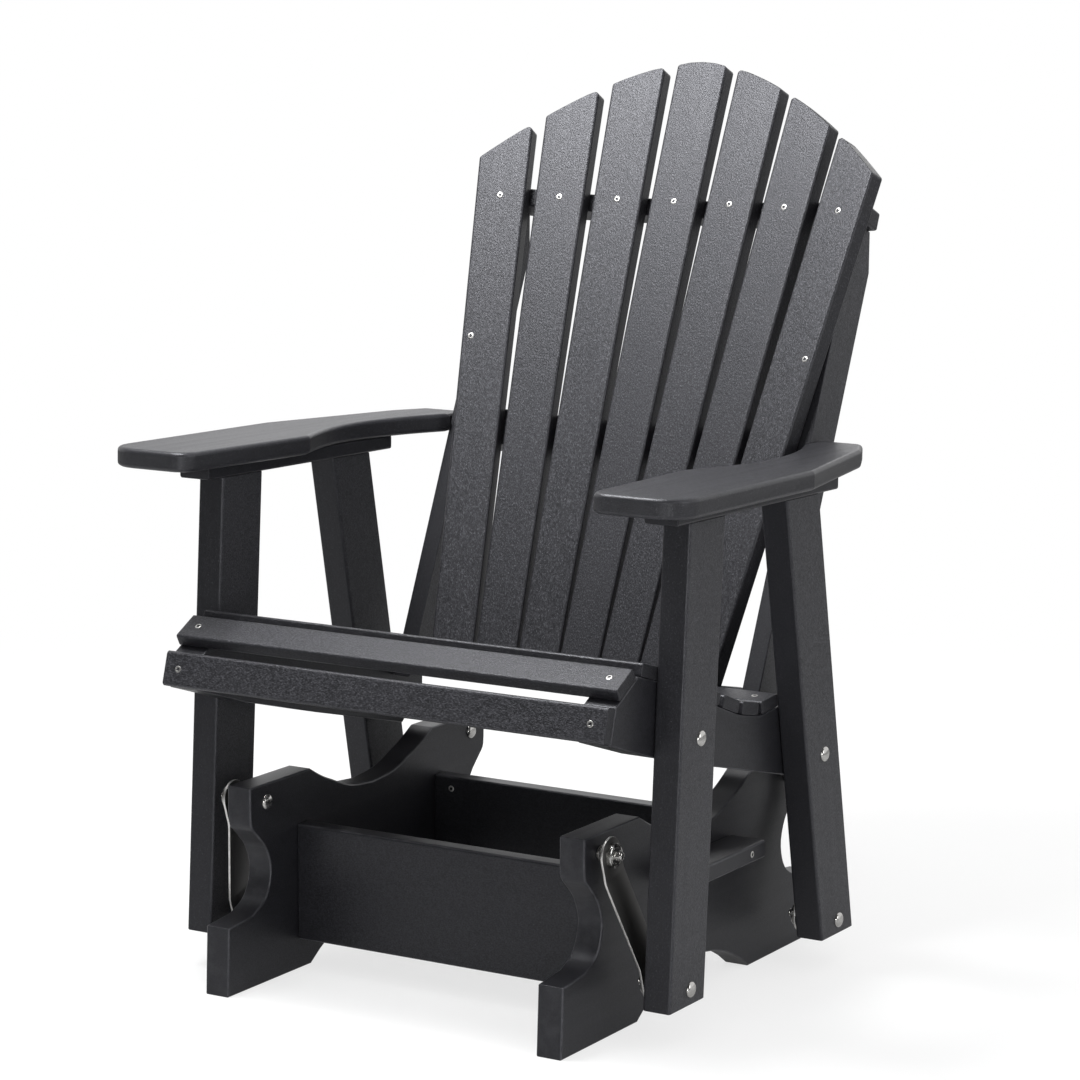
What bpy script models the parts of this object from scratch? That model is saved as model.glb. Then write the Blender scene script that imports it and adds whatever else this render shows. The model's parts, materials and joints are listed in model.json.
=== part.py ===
"""Adirondack glider: a contoured seat and fan back that swing on four steel straps from a low base.

Metres, +Z up, front toward -Y. Lengths along Y are taken from the front line of the base feet
until the whole part is centred on its origin at the end. Left is -X and right is +X.
"""
import math

import bmesh
import bpy
from mathutils import Vector
from mathutils.geometry import tessellate_polygon

# Fits
GAP = 0.0003
OPEN_PIVOT_CLEARANCE = 0.0032

# Facets
EDGE_STEPS = 2
CORNER_STEPS = 6
CURVE_STEPS = 3
ROUND_SIDES = 16

# Rounding of board edges
BOARD_ROUND = 0.0035
ARM_ROUND = 0.0060
SLAT_CORNER = 0.0060

# Base side panels
BASE_LENGTH = 0.6655
BASE_HEIGHT = 0.2616
STRAP_ROOM = 0.0586
PANEL_THICK = 0.0355
ARCH_START_SHARE = 0.443
ARCH_RISE = 0.0488
FOOT_TOP_SHARES = ((1.0, 0.0), (0.9885, 0.3417))
SCOOP_SHARES = (
    (0.8366, 0.3621), (0.7634, 0.4097), (0.7240, 0.4780), (0.7115, 0.5728),
    (0.7420, 0.6748), (0.7960, 0.7480), (0.8360, 0.8000), (0.8435, 0.8600),
)
SHOULDER_SHARES = ((0.8435, 1.0), (0.4389, 1.0))
DIP_SHARES = ((0.3588, 0.9456), (0.2847, 0.9068), (0.1557, 0.8466), (0.0, 0.8252))

# Boards of the base
STRETCHER_INSET = 0.1553
STRETCHER_BOTTOM = 0.0403
STRETCHER_HEIGHT = 0.1545
STRETCHER_THICK = 0.0254
CLEAT_LENGTH = 0.1780
CLEAT_WIDTH = 0.0521
CLEAT_THICK = 0.0231
CLEAT_BOTTOM = 0.1664

# Pivots
PIVOT_INSET = 0.0876
PIVOT_HEIGHT = 0.2377
FRONT_LEG_PIVOT_Y = 0.1435
FRONT_LEG_PIVOT_Z = 0.0683
REAR_LEG_PIVOT_Y = 0.5461
REAR_LEG_PIVOT_Z = 0.0610

# Bolts
BOLT_RADIUS = 0.0048
BOLT_HEAD_RADIUS = 0.0102
BOLT_HEAD_HEIGHT = 0.0048
FLANGE_RADIUS = 0.0098
FLANGE_THICK = 0.0064
NUT_RADIUS = 0.0080
NUT_THICK = 0.0055
BOLT_TAIL = 0.0030

# Glide straps and bearings
STRAP_WIDTH = 0.0445
STRAP_THICK = 0.0032
STRAP_STANDOFF = 0.0140
STRAP_BEND = 0.0305
BEARING_RADIUS = 0.0163
BEARING_THICK = 0.0068

# Legs
LEG_THICK = 0.0380
LEG_WIDTH = 0.0876
FRONT_LEG_Y = 0.0922
FRONT_LEG_CLEAR = 0.0483
FRONT_LEG_LEAN = math.radians(3.72)
REAR_LEG_Y = 0.5005
REAR_LEG_CLEAR = 0.0424
REAR_LEG_LEAN = math.radians(-11.48)

# Seat
SEAT_HALF_WIDTH = 0.3213
SEAT_FRONT_Y = 0.0104
SEAT_FRONT_Z = 0.3907
SEAT_RAIL_THICK = 0.0445
SEAT_SLAT_WIDTH = 0.0445
SEAT_SLAT_THICK = 0.0170
SEAT_SLAT_GAP = 0.0106
APRON_GAP = 0.0006
NOSE_GAP = 0.0107
SEAT_TILTS = (73.7, 28.0, -16.2, -19.3, -21.8, -22.3, -20.2, -11.9, 4.0)
RAIL_TAIL = 0.0869
RAIL_DROP = 0.1283
RAIL_END_SHARES = ((1.0, 0.4317), (1.0, 0.6693))
RAIL_BOTTOM_SHARES = ((0.9024, 1.0), (0.5027, 0.5921), (0.1977, 0.2594))

# Back
BACK_SETBACK = 0.0323
BACK_LEAN = math.radians(22.7)
BACK_HEIGHT = 0.8649
BACK_DROP = 0.0152
BACK_SLATS = 7
BACK_SLAT_THICK = 0.0254
BACK_INSET_LOW = 0.10845
BACK_OVERHANG_TOP = 0.0016
BACK_GAP_LOW = 0.0020
BACK_GAP_TOP = 0.0185
BACK_BOW_LOW = 0.0216
BACK_BOW_TOP = 0.0273
CROWN_DROP = 0.1420
CROWN_INSET = 0.0194
CROWN_POWER = 1.70

# Rails behind the back
UPPER_RAIL_FROM_TOP = 0.2045
UPPER_RAIL_THICK = 0.0254
UPPER_RAIL_DEPTH = 0.0381
UPPER_RAIL_INSET = 0.0343
UPPER_RAIL_END_DEPTH = 0.0487
UPPER_RAIL_CUT = 0.0580
MIDDLE_RAIL_HEIGHT = 0.3307
MIDDLE_RAIL_THICK = 0.0500
LOWER_RAIL_HEIGHT = -0.0035
LOWER_RAIL_THICK = 0.0254
CROSS_RAIL_DEPTH = 0.0305

# Uprights
UPRIGHT_THICK = 0.0254
UPRIGHT_DEPTH = 0.0665
UPRIGHT_DROP = 0.0285
UPRIGHT_TAPER = 0.0510
UPRIGHT_TOP_DEPTH = 0.0450

# Arm supports and arms
SUPPORT_HEIGHT = 0.6441
SUPPORT_THICK = 0.0190
SUPPORT_WIDTH = 0.0462
SUPPORT_LENGTH = 0.4219
SUPPORT_FRONT_Y = 0.0937
SUPPORT_OVERHANG = 0.0033
ARM_FALL = math.radians(1.31)
ARM_THICK = 0.0254
ARM_FRONT_Y = 0.0045
ARM_LENGTH = 0.6305
ARM_WIDTH = 0.1511
ARM_OVERHANG = 0.0570
ARM_OUTER_CORNER = 0.0432
ARM_INNER_CORNER = 0.0254
ARM_REAR_CORNER = 0.0127
ARM_OUTER_SHARES = ((1.0, 0.0), (0.968, 0.547), (0.640, 0.914), (0.479, 1.0))
ARM_NOTCH_SHARE = 0.045
ARM_INNER_SHARES = (
    (0.115, 0.895), (0.195, 0.840), (0.262, 0.775), (0.302, 0.710), (0.315, 0.650),
    (0.303, 0.595), (0.268, 0.545), (0.205, 0.490), (0.135, 0.440), (0.075, 0.402),
)
ARM_FRONT_INNER_SHARE = 0.160

SIDES = (("left", -1), ("right", 1))


# Small plane geometry
def area(points):
    following = points[1:] + points[:1]
    return sum(a[0] * b[1] - b[0] * a[1] for a, b in zip(points, following)) / 2


def counterclockwise(points):
    points = [tuple(point) for point in points]
    return points if area(points) > 0 else points[::-1]


def inset(points, distance):
    """Move a counterclockwise outline inward by a distance, keeping its corners sharp."""
    moved = []
    count = len(points)
    for i in range(count):
        before, here, after = (Vector(points[(i + step) % count]) for step in (-1, 0, 1))
        first = (here - before).normalized()
        second = (after - here).normalized()
        inward = Vector((-first.y - second.y, first.x + second.x))
        inward /= max(inward.length_squared / 2, 0.3)
        moved.append(tuple(here + inward * distance))
    return moved


def circle(center, radius, sides=ROUND_SIDES):
    angles = [math.tau * i / sides for i in range(sides)]
    return [(center[0] + radius * math.cos(a), center[1] + radius * math.sin(a)) for a in angles]


def smooth_curve(points, steps=CURVE_STEPS):
    """A curve through all the points, with its ends kept."""
    points = [Vector(point) for point in points]
    points = [2 * points[0] - points[1]] + points + [2 * points[-1] - points[-2]]
    curve = []
    for p, q, r, s in zip(points, points[1:], points[2:], points[3:]):
        for i in range(steps):
            t = i / steps
            place = 2 * q + (r - p) * t + (2 * p - 5 * q + 4 * r - s) * t ** 2
            place += (3 * q - p - 3 * r + s) * t ** 3
            curve.append(tuple(place / 2))
    curve.append(tuple(points[-2]))
    return curve


def arch(half_span, rise, steps):
    """Points of a round arch from +half_span over the crown to -half_span, with its feet at zero."""
    radius = (half_span ** 2 + rise ** 2) / (2 * rise)
    reach = math.asin(half_span / radius)
    turns = [reach * (1 - 2 * i / steps) for i in range(steps + 1)]
    return [(radius * math.sin(t), radius * math.cos(t) - radius + rise) for t in turns]


def round_corner(before, corner, after, radius, steps=CORNER_STEPS):
    """Points of the arc that replaces a corner."""
    before, corner, after = Vector(before), Vector(corner), Vector(after)
    to_before = (before - corner).normalized()
    to_after = (after - corner).normalized()
    half = to_before.angle(to_after) / 2
    reach = radius / math.tan(half)
    center = corner + (to_before + to_after).normalized() * radius / math.sin(half)
    start = corner + to_before * reach - center
    end = corner + to_after * reach - center
    turn = start.angle_signed(end)
    points = []
    for i in range(steps + 1):
        a = -turn * i / steps
        spin = (start.x * math.cos(a) - start.y * math.sin(a), start.x * math.sin(a) + start.y * math.cos(a))
        points.append((center.x + spin[0], center.y + spin[1]))
    return points


def round_corners(points, radii):
    """An outline whose corners have the radius given for each, zero for a sharp one."""
    rounded = []
    count = len(points)
    for i, radius in enumerate(radii):
        if radius:
            rounded += round_corner(points[i - 1], points[i], points[(i + 1) % count], radius)
        else:
            rounded.append(tuple(points[i]))
    return rounded


# Solids as lists of faces
def cap(loops, depth):
    points = [point for loop in loops for point in loop]
    triangles = tessellate_polygon([[Vector((*point, 0)) for point in loop] for loop in loops])
    return [[(*points[i], depth) for i in triangle] for triangle in triangles]


def wall(low_loop, low, high_loop, high):
    faces = []
    for i in range(len(low_loop)):
        j = (i + 1) % len(low_loop)
        faces.append([(*low_loop[i], low), (*low_loop[j], low), (*high_loop[j], high), (*high_loop[i], high)])
    return faces


def board(outline, near, far, rounding=BOARD_ROUND, holes=()):
    """A board of any outline between two depths, with its edges rounded and holes left open."""
    outline = counterclockwise(outline)
    levels = []
    for i in range(EDGE_STEPS + 1):
        angle = math.pi / 2 * i / EDGE_STEPS
        levels.append((rounding * (1 - math.sin(angle)), rounding * (1 - math.cos(angle))))
    depths = [(away, near + depth) for away, depth in levels]
    depths += [(away, far - depth) for away, depth in reversed(levels)]
    loops = [(inset(outline, away), depth) for away, depth in depths]
    faces = cap([loops[0][0], *holes], near) + cap([loops[-1][0], *holes], far)
    for (low_loop, low), (high_loop, high) in zip(loops, loops[1:]):
        faces += wall(low_loop, low, high_loop, high)
    for hole in holes:
        faces += wall(hole, near, hole, far)
    return faces


def turned(profile, sides=ROUND_SIDES):
    """A body turned about the X axis from (x, radius) points, closed where it meets the axis."""
    rings = [[(x, y, z) for y, z in circle((0, 0), radius, sides)] for x, radius in profile]
    faces = []
    for low, high in zip(rings, rings[1:]):
        for i in range(sides):
            j = (i + 1) % sides
            faces.append([low[i], low[j], high[j], high[i]])
    if profile[0] != profile[-1]:
        faces += [rings[0], rings[-1]]
    return faces


# Frames that carry flat outlines into place
def side_frame(side):
    """Outlines in (y, z) with their depth across the seat."""
    return lambda p: Vector((side * p[2], p[0], p[1]))


def tilted_frame(origin, along, across, outward):
    return lambda p: origin + along * p[0] + across * p[1] + outward * p[2]


# Objects
def material(name, color, roughness, metallic):
    made = bpy.data.materials.new(name)
    made.use_nodes = True
    made.diffuse_color = (*color, 1)
    shader = made.node_tree.nodes["Principled BSDF"]
    shader.inputs["Base Color"].default_value = (*color, 1)
    shader.inputs["Roughness"].default_value = roughness
    shader.inputs["Metallic"].default_value = metallic
    return made


def piece(name, faces, place, finish, axis=(0, 0), smooth=False):
    """One closed body with its origin on the joint axis at (y, z) that it turns about."""
    origin = Vector((0, *axis))
    body = bmesh.new()
    for face in faces:
        body.faces.new([body.verts.new(place(Vector(point)) - origin) for point in face])
    bmesh.ops.remove_doubles(body, verts=body.verts, dist=GAP / 100)
    bmesh.ops.dissolve_degenerate(body, edges=body.edges, dist=GAP / 100)
    bmesh.ops.recalc_face_normals(body, faces=body.faces)
    mesh = bpy.data.meshes.new(name)
    body.to_mesh(mesh)
    body.free()
    mesh.materials.append(finish)
    if smooth:
        mesh.shade_smooth()
        mesh.set_sharp_from_angle(angle=math.radians(35))
    made = bpy.data.objects.new(name, mesh)
    made.location = origin
    bpy.context.scene.collection.objects.link(made)
    return made


# Places that several pieces share
def front_base_pivot():
    return PIVOT_INSET, PIVOT_HEIGHT


def rear_base_pivot():
    return BASE_LENGTH - PIVOT_INSET, PIVOT_HEIGHT


def front_leg_pivot():
    return FRONT_LEG_PIVOT_Y, FRONT_LEG_PIVOT_Z


def rear_leg_pivot():
    return REAR_LEG_PIVOT_Y, REAR_LEG_PIVOT_Z


def leg_inner_x():
    return SEAT_HALF_WIDTH + GAP


def base_half_width():
    return leg_inner_x() - STRAP_ROOM


def seat_corners():
    """Corners of the seat rail's faceted top, from the foot of the apron to the back edge."""
    place = Vector((SEAT_FRONT_Y, SEAT_FRONT_Z))
    corners = [place.copy()]
    for tilt, lead, tail in seat_facets():
        run = lead + SEAT_SLAT_WIDTH + tail
        place = place + Vector((math.cos(tilt), math.sin(tilt))) * run
        corners.append(place.copy())
    return corners


def seat_facets():
    """Each seat slat's tilt, and the bare rail before and after it."""
    gaps = [(APRON_GAP, APRON_GAP), (NOSE_GAP, SEAT_SLAT_GAP / 2)]
    gaps += [(SEAT_SLAT_GAP / 2, SEAT_SLAT_GAP / 2)] * (len(SEAT_TILTS) - len(gaps))
    return [(math.radians(tilt), *pair) for tilt, pair in zip(SEAT_TILTS, gaps)]


def back_foot():
    """The middle back slat's front face at the height of the seat's back edge."""
    end = seat_corners()[-1]
    return Vector((0, end.x + BACK_SETBACK, end.y))


def back_up():
    return Vector((0, math.sin(BACK_LEAN), math.cos(BACK_LEAN)))


def back_out():
    return Vector((0, math.cos(BACK_LEAN), -math.sin(BACK_LEAN)))


def back_pitches():
    """Distance between the middles of neighboring back slats, at the seat and at the top."""
    low = SEAT_HALF_WIDTH - BACK_INSET_LOW + BACK_GAP_LOW / 2
    top = SEAT_HALF_WIDTH + BACK_OVERHANG_TOP + BACK_GAP_TOP / 2
    return 2 * low / BACK_SLATS, 2 * top / BACK_SLATS


def back_slat_frame(number):
    """Origin, up, sideways and rearward directions of a back slat, counted from the middle one."""
    share = number / (BACK_SLATS // 2)
    pitch_low, pitch_top = back_pitches()
    low = back_foot() + Vector((number * pitch_low, -BACK_BOW_LOW * share ** 2, 0))
    top = back_foot() + back_up() * BACK_HEIGHT
    top += Vector((number * pitch_top, -BACK_BOW_TOP * share ** 2, 0))
    up = (top - low).normalized()
    bow = (BACK_BOW_LOW + BACK_BOW_TOP) / 2
    pitch = (pitch_low + pitch_top) / 2
    slope = 2 * bow * share / (BACK_SLATS // 2 * pitch)
    rearward = Vector((1, -slope, 0)).cross(up)
    rearward = -rearward.normalized() if rearward.y < 0 else rearward.normalized()
    sideways = up.cross(rearward)
    return low, up, sideways if sideways.x > 0 else -sideways, rearward


def behind_slat(number, point, direction):
    """How far along a direction from a point the back face of a slat lies."""
    low, _, _, rearward = back_slat_frame(number)
    face = low + rearward * (BACK_SLAT_THICK + GAP)
    return (face - point).dot(rearward) / direction.dot(rearward)


def support_under_z(y):
    """Height of the arm supports' flat underside."""
    return SUPPORT_HEIGHT - math.tan(ARM_FALL) * (y - SUPPORT_FRONT_Y)


def arm_frame(side, height):
    """A frame that lies on the sloping plane at a height above the supports' underside."""
    fall = Vector((0, math.cos(ARM_FALL), -math.sin(ARM_FALL)))
    outward = Vector((0, math.sin(ARM_FALL), math.cos(ARM_FALL)))
    origin = Vector((0, 0, support_under_z(0))) + outward * height
    return tilted_frame(origin, Vector((side, 0, 0)), fall, outward)


# Base
def panel_outline():
    half = BASE_LENGTH / 2
    scoop = smooth_curve(SCOOP_SHARES)
    dip = smooth_curve((SHOULDER_SHARES[-1], *DIP_SHARES))[1:]
    front = [(-a * half, b * BASE_HEIGHT) for a, b in (*FOOT_TOP_SHARES, *scoop, *SHOULDER_SHARES, *dip)]
    rear = [(-y, z) for y, z in reversed(front[:-1])]
    under = arch(ARCH_START_SHARE * half, ARCH_RISE, 4 * CURVE_STEPS)
    return [(y + half, z) for y, z in front + rear + under]


def make_base_panels(lumber):
    hole_radius = BOLT_RADIUS + GAP
    holes = [circle(front_base_pivot(), hole_radius), circle(rear_base_pivot(), hole_radius)]
    inner = base_half_width() - PANEL_THICK
    for name, side in SIDES:
        faces = board(panel_outline(), inner, base_half_width(), holes=holes)
        piece(f"base_panel_{name}", faces, side_frame(side), lumber)


def make_stretchers(lumber):
    half = base_half_width() - PANEL_THICK - GAP
    bottom, top = STRETCHER_BOTTOM, STRETCHER_BOTTOM + STRETCHER_HEIGHT
    outline = [(-half, bottom), (half, bottom), (half, top), (-half, top)]
    starts = {"front": STRETCHER_INSET, "rear": BASE_LENGTH - STRETCHER_INSET - STRETCHER_THICK}
    for name, start in starts.items():
        faces = board(outline, start, start + STRETCHER_THICK)
        piece(f"base_stretcher_{name}", faces, lambda p: Vector((p[0], p[2], p[1])), lumber)


def make_cleats(lumber):
    start = (BASE_LENGTH - CLEAT_LENGTH) / 2
    end = start + CLEAT_LENGTH
    inner = base_half_width() + GAP
    outer = inner + CLEAT_WIDTH
    outline = [(inner, start), (outer, start), (outer, end), (inner, end)]
    faces = board(outline, CLEAT_BOTTOM, CLEAT_BOTTOM + CLEAT_THICK)
    for name, side in SIDES:
        piece(f"side_cleat_{name}", faces, lambda p, side=side: Vector((side * p[0], p[1], p[2])), lumber)


# Glide hardware
def bolt_profile(wall_thick):
    """Outline of a pivot bolt along its axis, from zero at the wall's head side."""
    head = [(-GAP - BOLT_HEAD_HEIGHT, BOLT_HEAD_RADIUS * share) for share in (0.45,)]
    head += [(-GAP - BOLT_HEAD_HEIGHT / 2, BOLT_HEAD_RADIUS * 0.85), (-GAP, BOLT_HEAD_RADIUS)]
    flange = wall_thick + GAP
    nut = wall_thick + STRAP_STANDOFF + STRAP_THICK + GAP + BEARING_THICK + GAP
    profile = head + [(-GAP, BOLT_RADIUS), (flange, BOLT_RADIUS)]
    profile += [(flange, FLANGE_RADIUS), (flange + FLANGE_THICK, FLANGE_RADIUS)]
    profile += [(flange + FLANGE_THICK, BOLT_RADIUS), (nut, BOLT_RADIUS), (nut, NUT_RADIUS)]
    profile += [(nut + NUT_THICK, NUT_RADIUS), (nut + NUT_THICK, BOLT_RADIUS)]
    return profile + [(nut + NUT_THICK + BOLT_TAIL, BOLT_RADIUS)]


def make_bolts(steel):
    base_start = base_half_width() - PANEL_THICK
    leg_start = leg_inner_x() + LEG_THICK
    ends = (
        ("base_bolt", PANEL_THICK, base_start, 1, (0, 0), front_base_pivot(), rear_base_pivot()),
        ("leg_bolt", LEG_THICK, leg_start, -1, front_leg_pivot(), front_leg_pivot(), rear_leg_pivot()),
    )
    for kind, wall_thick, start, way, axis, front, rear in ends:
        faces = turned(bolt_profile(wall_thick))
        for name, side in SIDES:
            for end, pivot in (("front", front), ("rear", rear)):
                def place(p, side=side, pivot=pivot):
                    return Vector((side * (start + way * p[0]), pivot[0] + p[1], pivot[1] + p[2]))
                piece(f"{kind}_{end}_{name}", faces, place, steel, axis, smooth=True)


def strap_ends():
    """Inner faces of a strap at the base panel and at the leg."""
    upper = base_half_width() + STRAP_STANDOFF
    lower = leg_inner_x() - STRAP_STANDOFF - STRAP_THICK
    return upper, lower


def strap_faces(length, lower_hole):
    """A bent strap in (along, across, depth) with a round end and a hole at each pivot."""
    upper, lower = strap_ends()
    half = STRAP_WIDTH / 2
    bends = (STRAP_BEND, length - STRAP_BEND)
    turns = [math.pi * i / ROUND_SIDES for i in range(ROUND_SIDES + 1)]
    first = [(-half * math.sin(t), half * math.cos(t)) for t in turns]
    last = [(length + half * math.sin(t), -half * math.cos(t)) for t in turns]
    top_zone = first + [(bends[0], -half), (bends[0], half)]
    middle_zone = [(bends[0], -half), (bends[1], -half), (bends[1], half), (bends[0], half)]
    low_zone = last + [(bends[1], half), (bends[1], -half)]
    upper_hole = circle((0, 0), BOLT_RADIUS + GAP)
    leg_hole = circle((length, 0), lower_hole)

    def depth(along):
        share = min(max((along - bends[0]) / (bends[1] - bends[0]), 0), 1)
        return upper + (lower - upper) * share

    edge = first + [(bends[0], -half), (bends[1], -half)] + last + [(bends[1], half), (bends[0], half)]
    faces = []
    for offset in (0, STRAP_THICK):
        for loops in ((top_zone, upper_hole), (middle_zone,), (low_zone, leg_hole)):
            flat = cap(loops, 0)
            faces += [[(a, b, depth(a) + offset) for a, b, _ in face] for face in flat]
    for loop in (edge, upper_hole, leg_hole):
        for (a, b), (c, d) in zip(loop, loop[1:] + loop[:1]):
            low, high = depth(a), depth(c)
            faces.append([(a, b, low), (c, d, high), (c, d, high + STRAP_THICK), (a, b, low + STRAP_THICK)])
    return faces


def make_straps(steel, ring_steel):
    upper, lower = strap_ends()
    pairs = (
        ("front", front_base_pivot(), front_leg_pivot(), GAP),
        ("rear", rear_base_pivot(), rear_leg_pivot(), OPEN_PIVOT_CLEARANCE),
    )
    for end, high, low, clearance in pairs:
        run = Vector(low) - Vector(high)
        along = Vector((0, *run.normalized()))
        across = Vector((0, -along.z, along.y))
        lower_hole = BOLT_RADIUS + clearance
        faces = strap_faces(run.length, lower_hole)
        rings = (
            ("upper", upper + STRAP_THICK + GAP, high, BOLT_RADIUS + GAP),
            ("lower", lower - GAP - BEARING_THICK, low, lower_hole),
        )
        for name, side in SIDES:
            origin = Vector((0, *high))
            place = tilted_frame(origin, along, across, Vector((side, 0, 0)))
            piece(f"glide_strap_{end}_{name}", faces, place, steel, high)
            for level, start, pivot, bore in rings:
                profile = [(0, bore), (BEARING_THICK, bore), (BEARING_THICK, BEARING_RADIUS), (0, BEARING_RADIUS)]
                ring = turned(profile + profile[:1])

                def seat(p, side=side, start=start, pivot=pivot):
                    return Vector((side * (start + p[0]), pivot[0] + p[1], pivot[1] + p[2]))
                piece(f"bearing_{level}_{end}_{name}", ring, seat, ring_steel, high, smooth=True)


# Legs
def leg_outline(foot_y, foot_z, lean):
    """A leaning leg with a level foot, cut at the top to the slope of the arm support."""
    slope = math.tan(lean)
    width = LEG_WIDTH / math.cos(lean)

    def top(y):
        height = support_under_z(y) - GAP - foot_z
        rise = height / (1 + slope * math.tan(ARM_FALL))
        return y + slope * rise, foot_z + rise

    return [(foot_y, foot_z), (foot_y + width, foot_z), top(foot_y + width), top(foot_y)]


def make_legs(lumber):
    inner = leg_inner_x()
    legs = (
        ("front", FRONT_LEG_Y, FRONT_LEG_CLEAR, FRONT_LEG_LEAN, front_leg_pivot()),
        ("rear", REAR_LEG_Y, REAR_LEG_CLEAR, REAR_LEG_LEAN, rear_leg_pivot()),
    )
    for end, y, z, lean, pivot in legs:
        outline = leg_outline(y, z, lean)
        faces = board(outline, inner, inner + LEG_THICK, holes=[circle(pivot, BOLT_RADIUS + GAP)])
        for name, side in SIDES:
            piece(f"leg_{end}_{name}", faces, side_frame(side), lumber, front_leg_pivot())


# Seat
def rail_outline():
    corners = seat_corners()
    start, end = corners[0], corners[-1]
    length = end.x + RAIL_TAIL - start.x
    below = [(start.x + a * length, start.y - b * RAIL_DROP) for a, b in RAIL_END_SHARES + RAIL_BOTTOM_SHARES]
    return [tuple(corner) for corner in corners] + below


def make_seat_rails(lumber):
    faces = board(rail_outline(), SEAT_HALF_WIDTH - SEAT_RAIL_THICK, SEAT_HALF_WIDTH, BOARD_ROUND / 2)
    for name, side in SIDES:
        piece(f"seat_rail_{name}", faces, side_frame(side), lumber, front_leg_pivot())


def make_seat_slats(lumber):
    half = SEAT_HALF_WIDTH
    outline = [(-half, 0), (half, 0), (half, SEAT_SLAT_WIDTH), (-half, SEAT_SLAT_WIDTH)]
    faces = board(outline, GAP, GAP + SEAT_SLAT_THICK)
    for number, (corner, (tilt, lead, _)) in enumerate(zip(seat_corners(), seat_facets()), 1):
        along = Vector((0, math.cos(tilt), math.sin(tilt)))
        outward = Vector((0, -math.sin(tilt), math.cos(tilt)))
        origin = Vector((0, *corner)) + along * lead
        place = tilted_frame(origin, Vector((1, 0, 0)), along, outward)
        piece(f"seat_slat_{number}", faces, place, lumber, front_leg_pivot())


# Back
def back_half_width(height):
    low, top = back_pitches()
    low -= BACK_GAP_LOW
    top -= BACK_GAP_TOP
    return (low + (top - low) * height / BACK_HEIGHT) / 2


def crown(x):
    """How far below the middle slat's top the crown of the back lies at x."""
    half = SEAT_HALF_WIDTH + BACK_OVERHANG_TOP - CROWN_INSET
    return CROWN_DROP * (abs(x) / half) ** CROWN_POWER


def slat_outline(number):
    """A tapered back slat with its top end cut to the crown of the whole back."""
    low, up, sideways, _ = back_slat_frame(number)

    def top(share):
        height = BACK_HEIGHT
        for _ in range(2 * CORNER_STEPS):
            x = (low + up * height + sideways * share * back_half_width(height)).x
            height = BACK_HEIGHT - crown(x)
        return share * back_half_width(height), height

    foot = -BACK_DROP
    wide = back_half_width(foot)
    ends = [(-wide, foot), (wide, foot), top(1), top(-1)]
    corners = round_corners(ends, (0, 0, SLAT_CORNER, SLAT_CORNER))
    split = len(corners) - CORNER_STEPS - 1
    return corners[:split] + [top(share) for share in (0.5, 0, -0.5)] + corners[split:]


def make_back_slats(lumber):
    middle = BACK_SLATS // 2
    for number in range(-middle, middle + 1):
        low, up, sideways, rearward = back_slat_frame(number)
        place = tilted_frame(low, sideways, up, rearward)
        faces = board(slat_outline(number), 0, BACK_SLAT_THICK)
        piece(f"back_slat_{number + middle + 1}", faces, place, lumber, front_leg_pivot())


def bowed_front(height, thick, half_length):
    """Front edge of a cross rail, fitted to the back faces of all the slats, from left to right."""
    levels = [height + end * thick / 2 for end in (-1, 1)]
    middle = BACK_SLATS // 2

    def reach(number, x):
        centers = [back_foot() + back_up() * level + Vector((x, 0, 0)) for level in levels]
        return max(behind_slat(number, center, back_out()) for center in centers)

    points = []
    for number in range(-middle, middle + 1):
        low, up, sideways, rearward = back_slat_frame(number)
        behind = low + rearward * BACK_SLAT_THICK
        for edge in (-1, 1):
            corners = [behind + up * level + sideways * edge * back_half_width(level) for level in levels]
            x = edge * max(edge * corner.x for corner in corners)
            x = min(max(x, -half_length), half_length)
            points.append((x, reach(number, x)))
    if points[-1][0] < half_length:
        points = [(-half_length, reach(-middle, -half_length))] + points
        points.append((half_length, reach(middle, half_length)))
    return points


def cross_rail(height, thick, half_length, rear_points):
    """Faces and frame of a cross rail that stands square to the lean of the back."""
    origin = back_foot() + back_up() * height
    place = tilted_frame(origin, Vector((1, 0, 0)), back_out(), back_up())
    front = bowed_front(height, thick, half_length)
    return board(front + rear_points(front), -thick / 2, thick / 2), place


def upright_outer_x():
    return SEAT_HALF_WIDTH - SEAT_RAIL_THICK - GAP


def upper_rail_height():
    return BACK_HEIGHT - UPPER_RAIL_FROM_TOP


def upper_rail_half_length():
    return SEAT_HALF_WIDTH - UPPER_RAIL_INSET


def make_cross_rails(lumber):
    half = upright_outer_x() - UPRIGHT_THICK - GAP

    def straight_rear(front):
        rear = BACK_SLAT_THICK + CROSS_RAIL_DEPTH
        return [(half, rear), (-half, rear)]

    def upper_rear(front):
        rear = BACK_SLAT_THICK + UPPER_RAIL_DEPTH
        end = front[0][1] + UPPER_RAIL_END_DEPTH
        outer = upper_rail_half_length()
        inner = outer - UPPER_RAIL_CUT
        return [(outer, end), (inner, rear), (-inner, rear), (-outer, end)]

    rails = (
        ("upper", upper_rail_height(), UPPER_RAIL_THICK, upper_rail_half_length(), upper_rear),
        ("middle", MIDDLE_RAIL_HEIGHT, MIDDLE_RAIL_THICK, half, straight_rear),
        ("lower", LOWER_RAIL_HEIGHT, LOWER_RAIL_THICK, half, straight_rear),
    )
    for name, height, thick, half_length, rear_points in rails:
        faces, place = cross_rail(height, thick, half_length, rear_points)
        piece(f"back_rail_{name}", faces, place, lumber, front_leg_pivot())


def upright_front(height):
    """Front edge of an upright at a height up the back, against the outer slat's back face."""
    inner = upright_outer_x() - UPRIGHT_THICK
    point = back_foot() + back_up() * height + Vector((inner, 0, 0))
    place = point + back_out() * behind_slat(BACK_SLATS // 2, point, back_out())
    return Vector((place.y, place.z))


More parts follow.
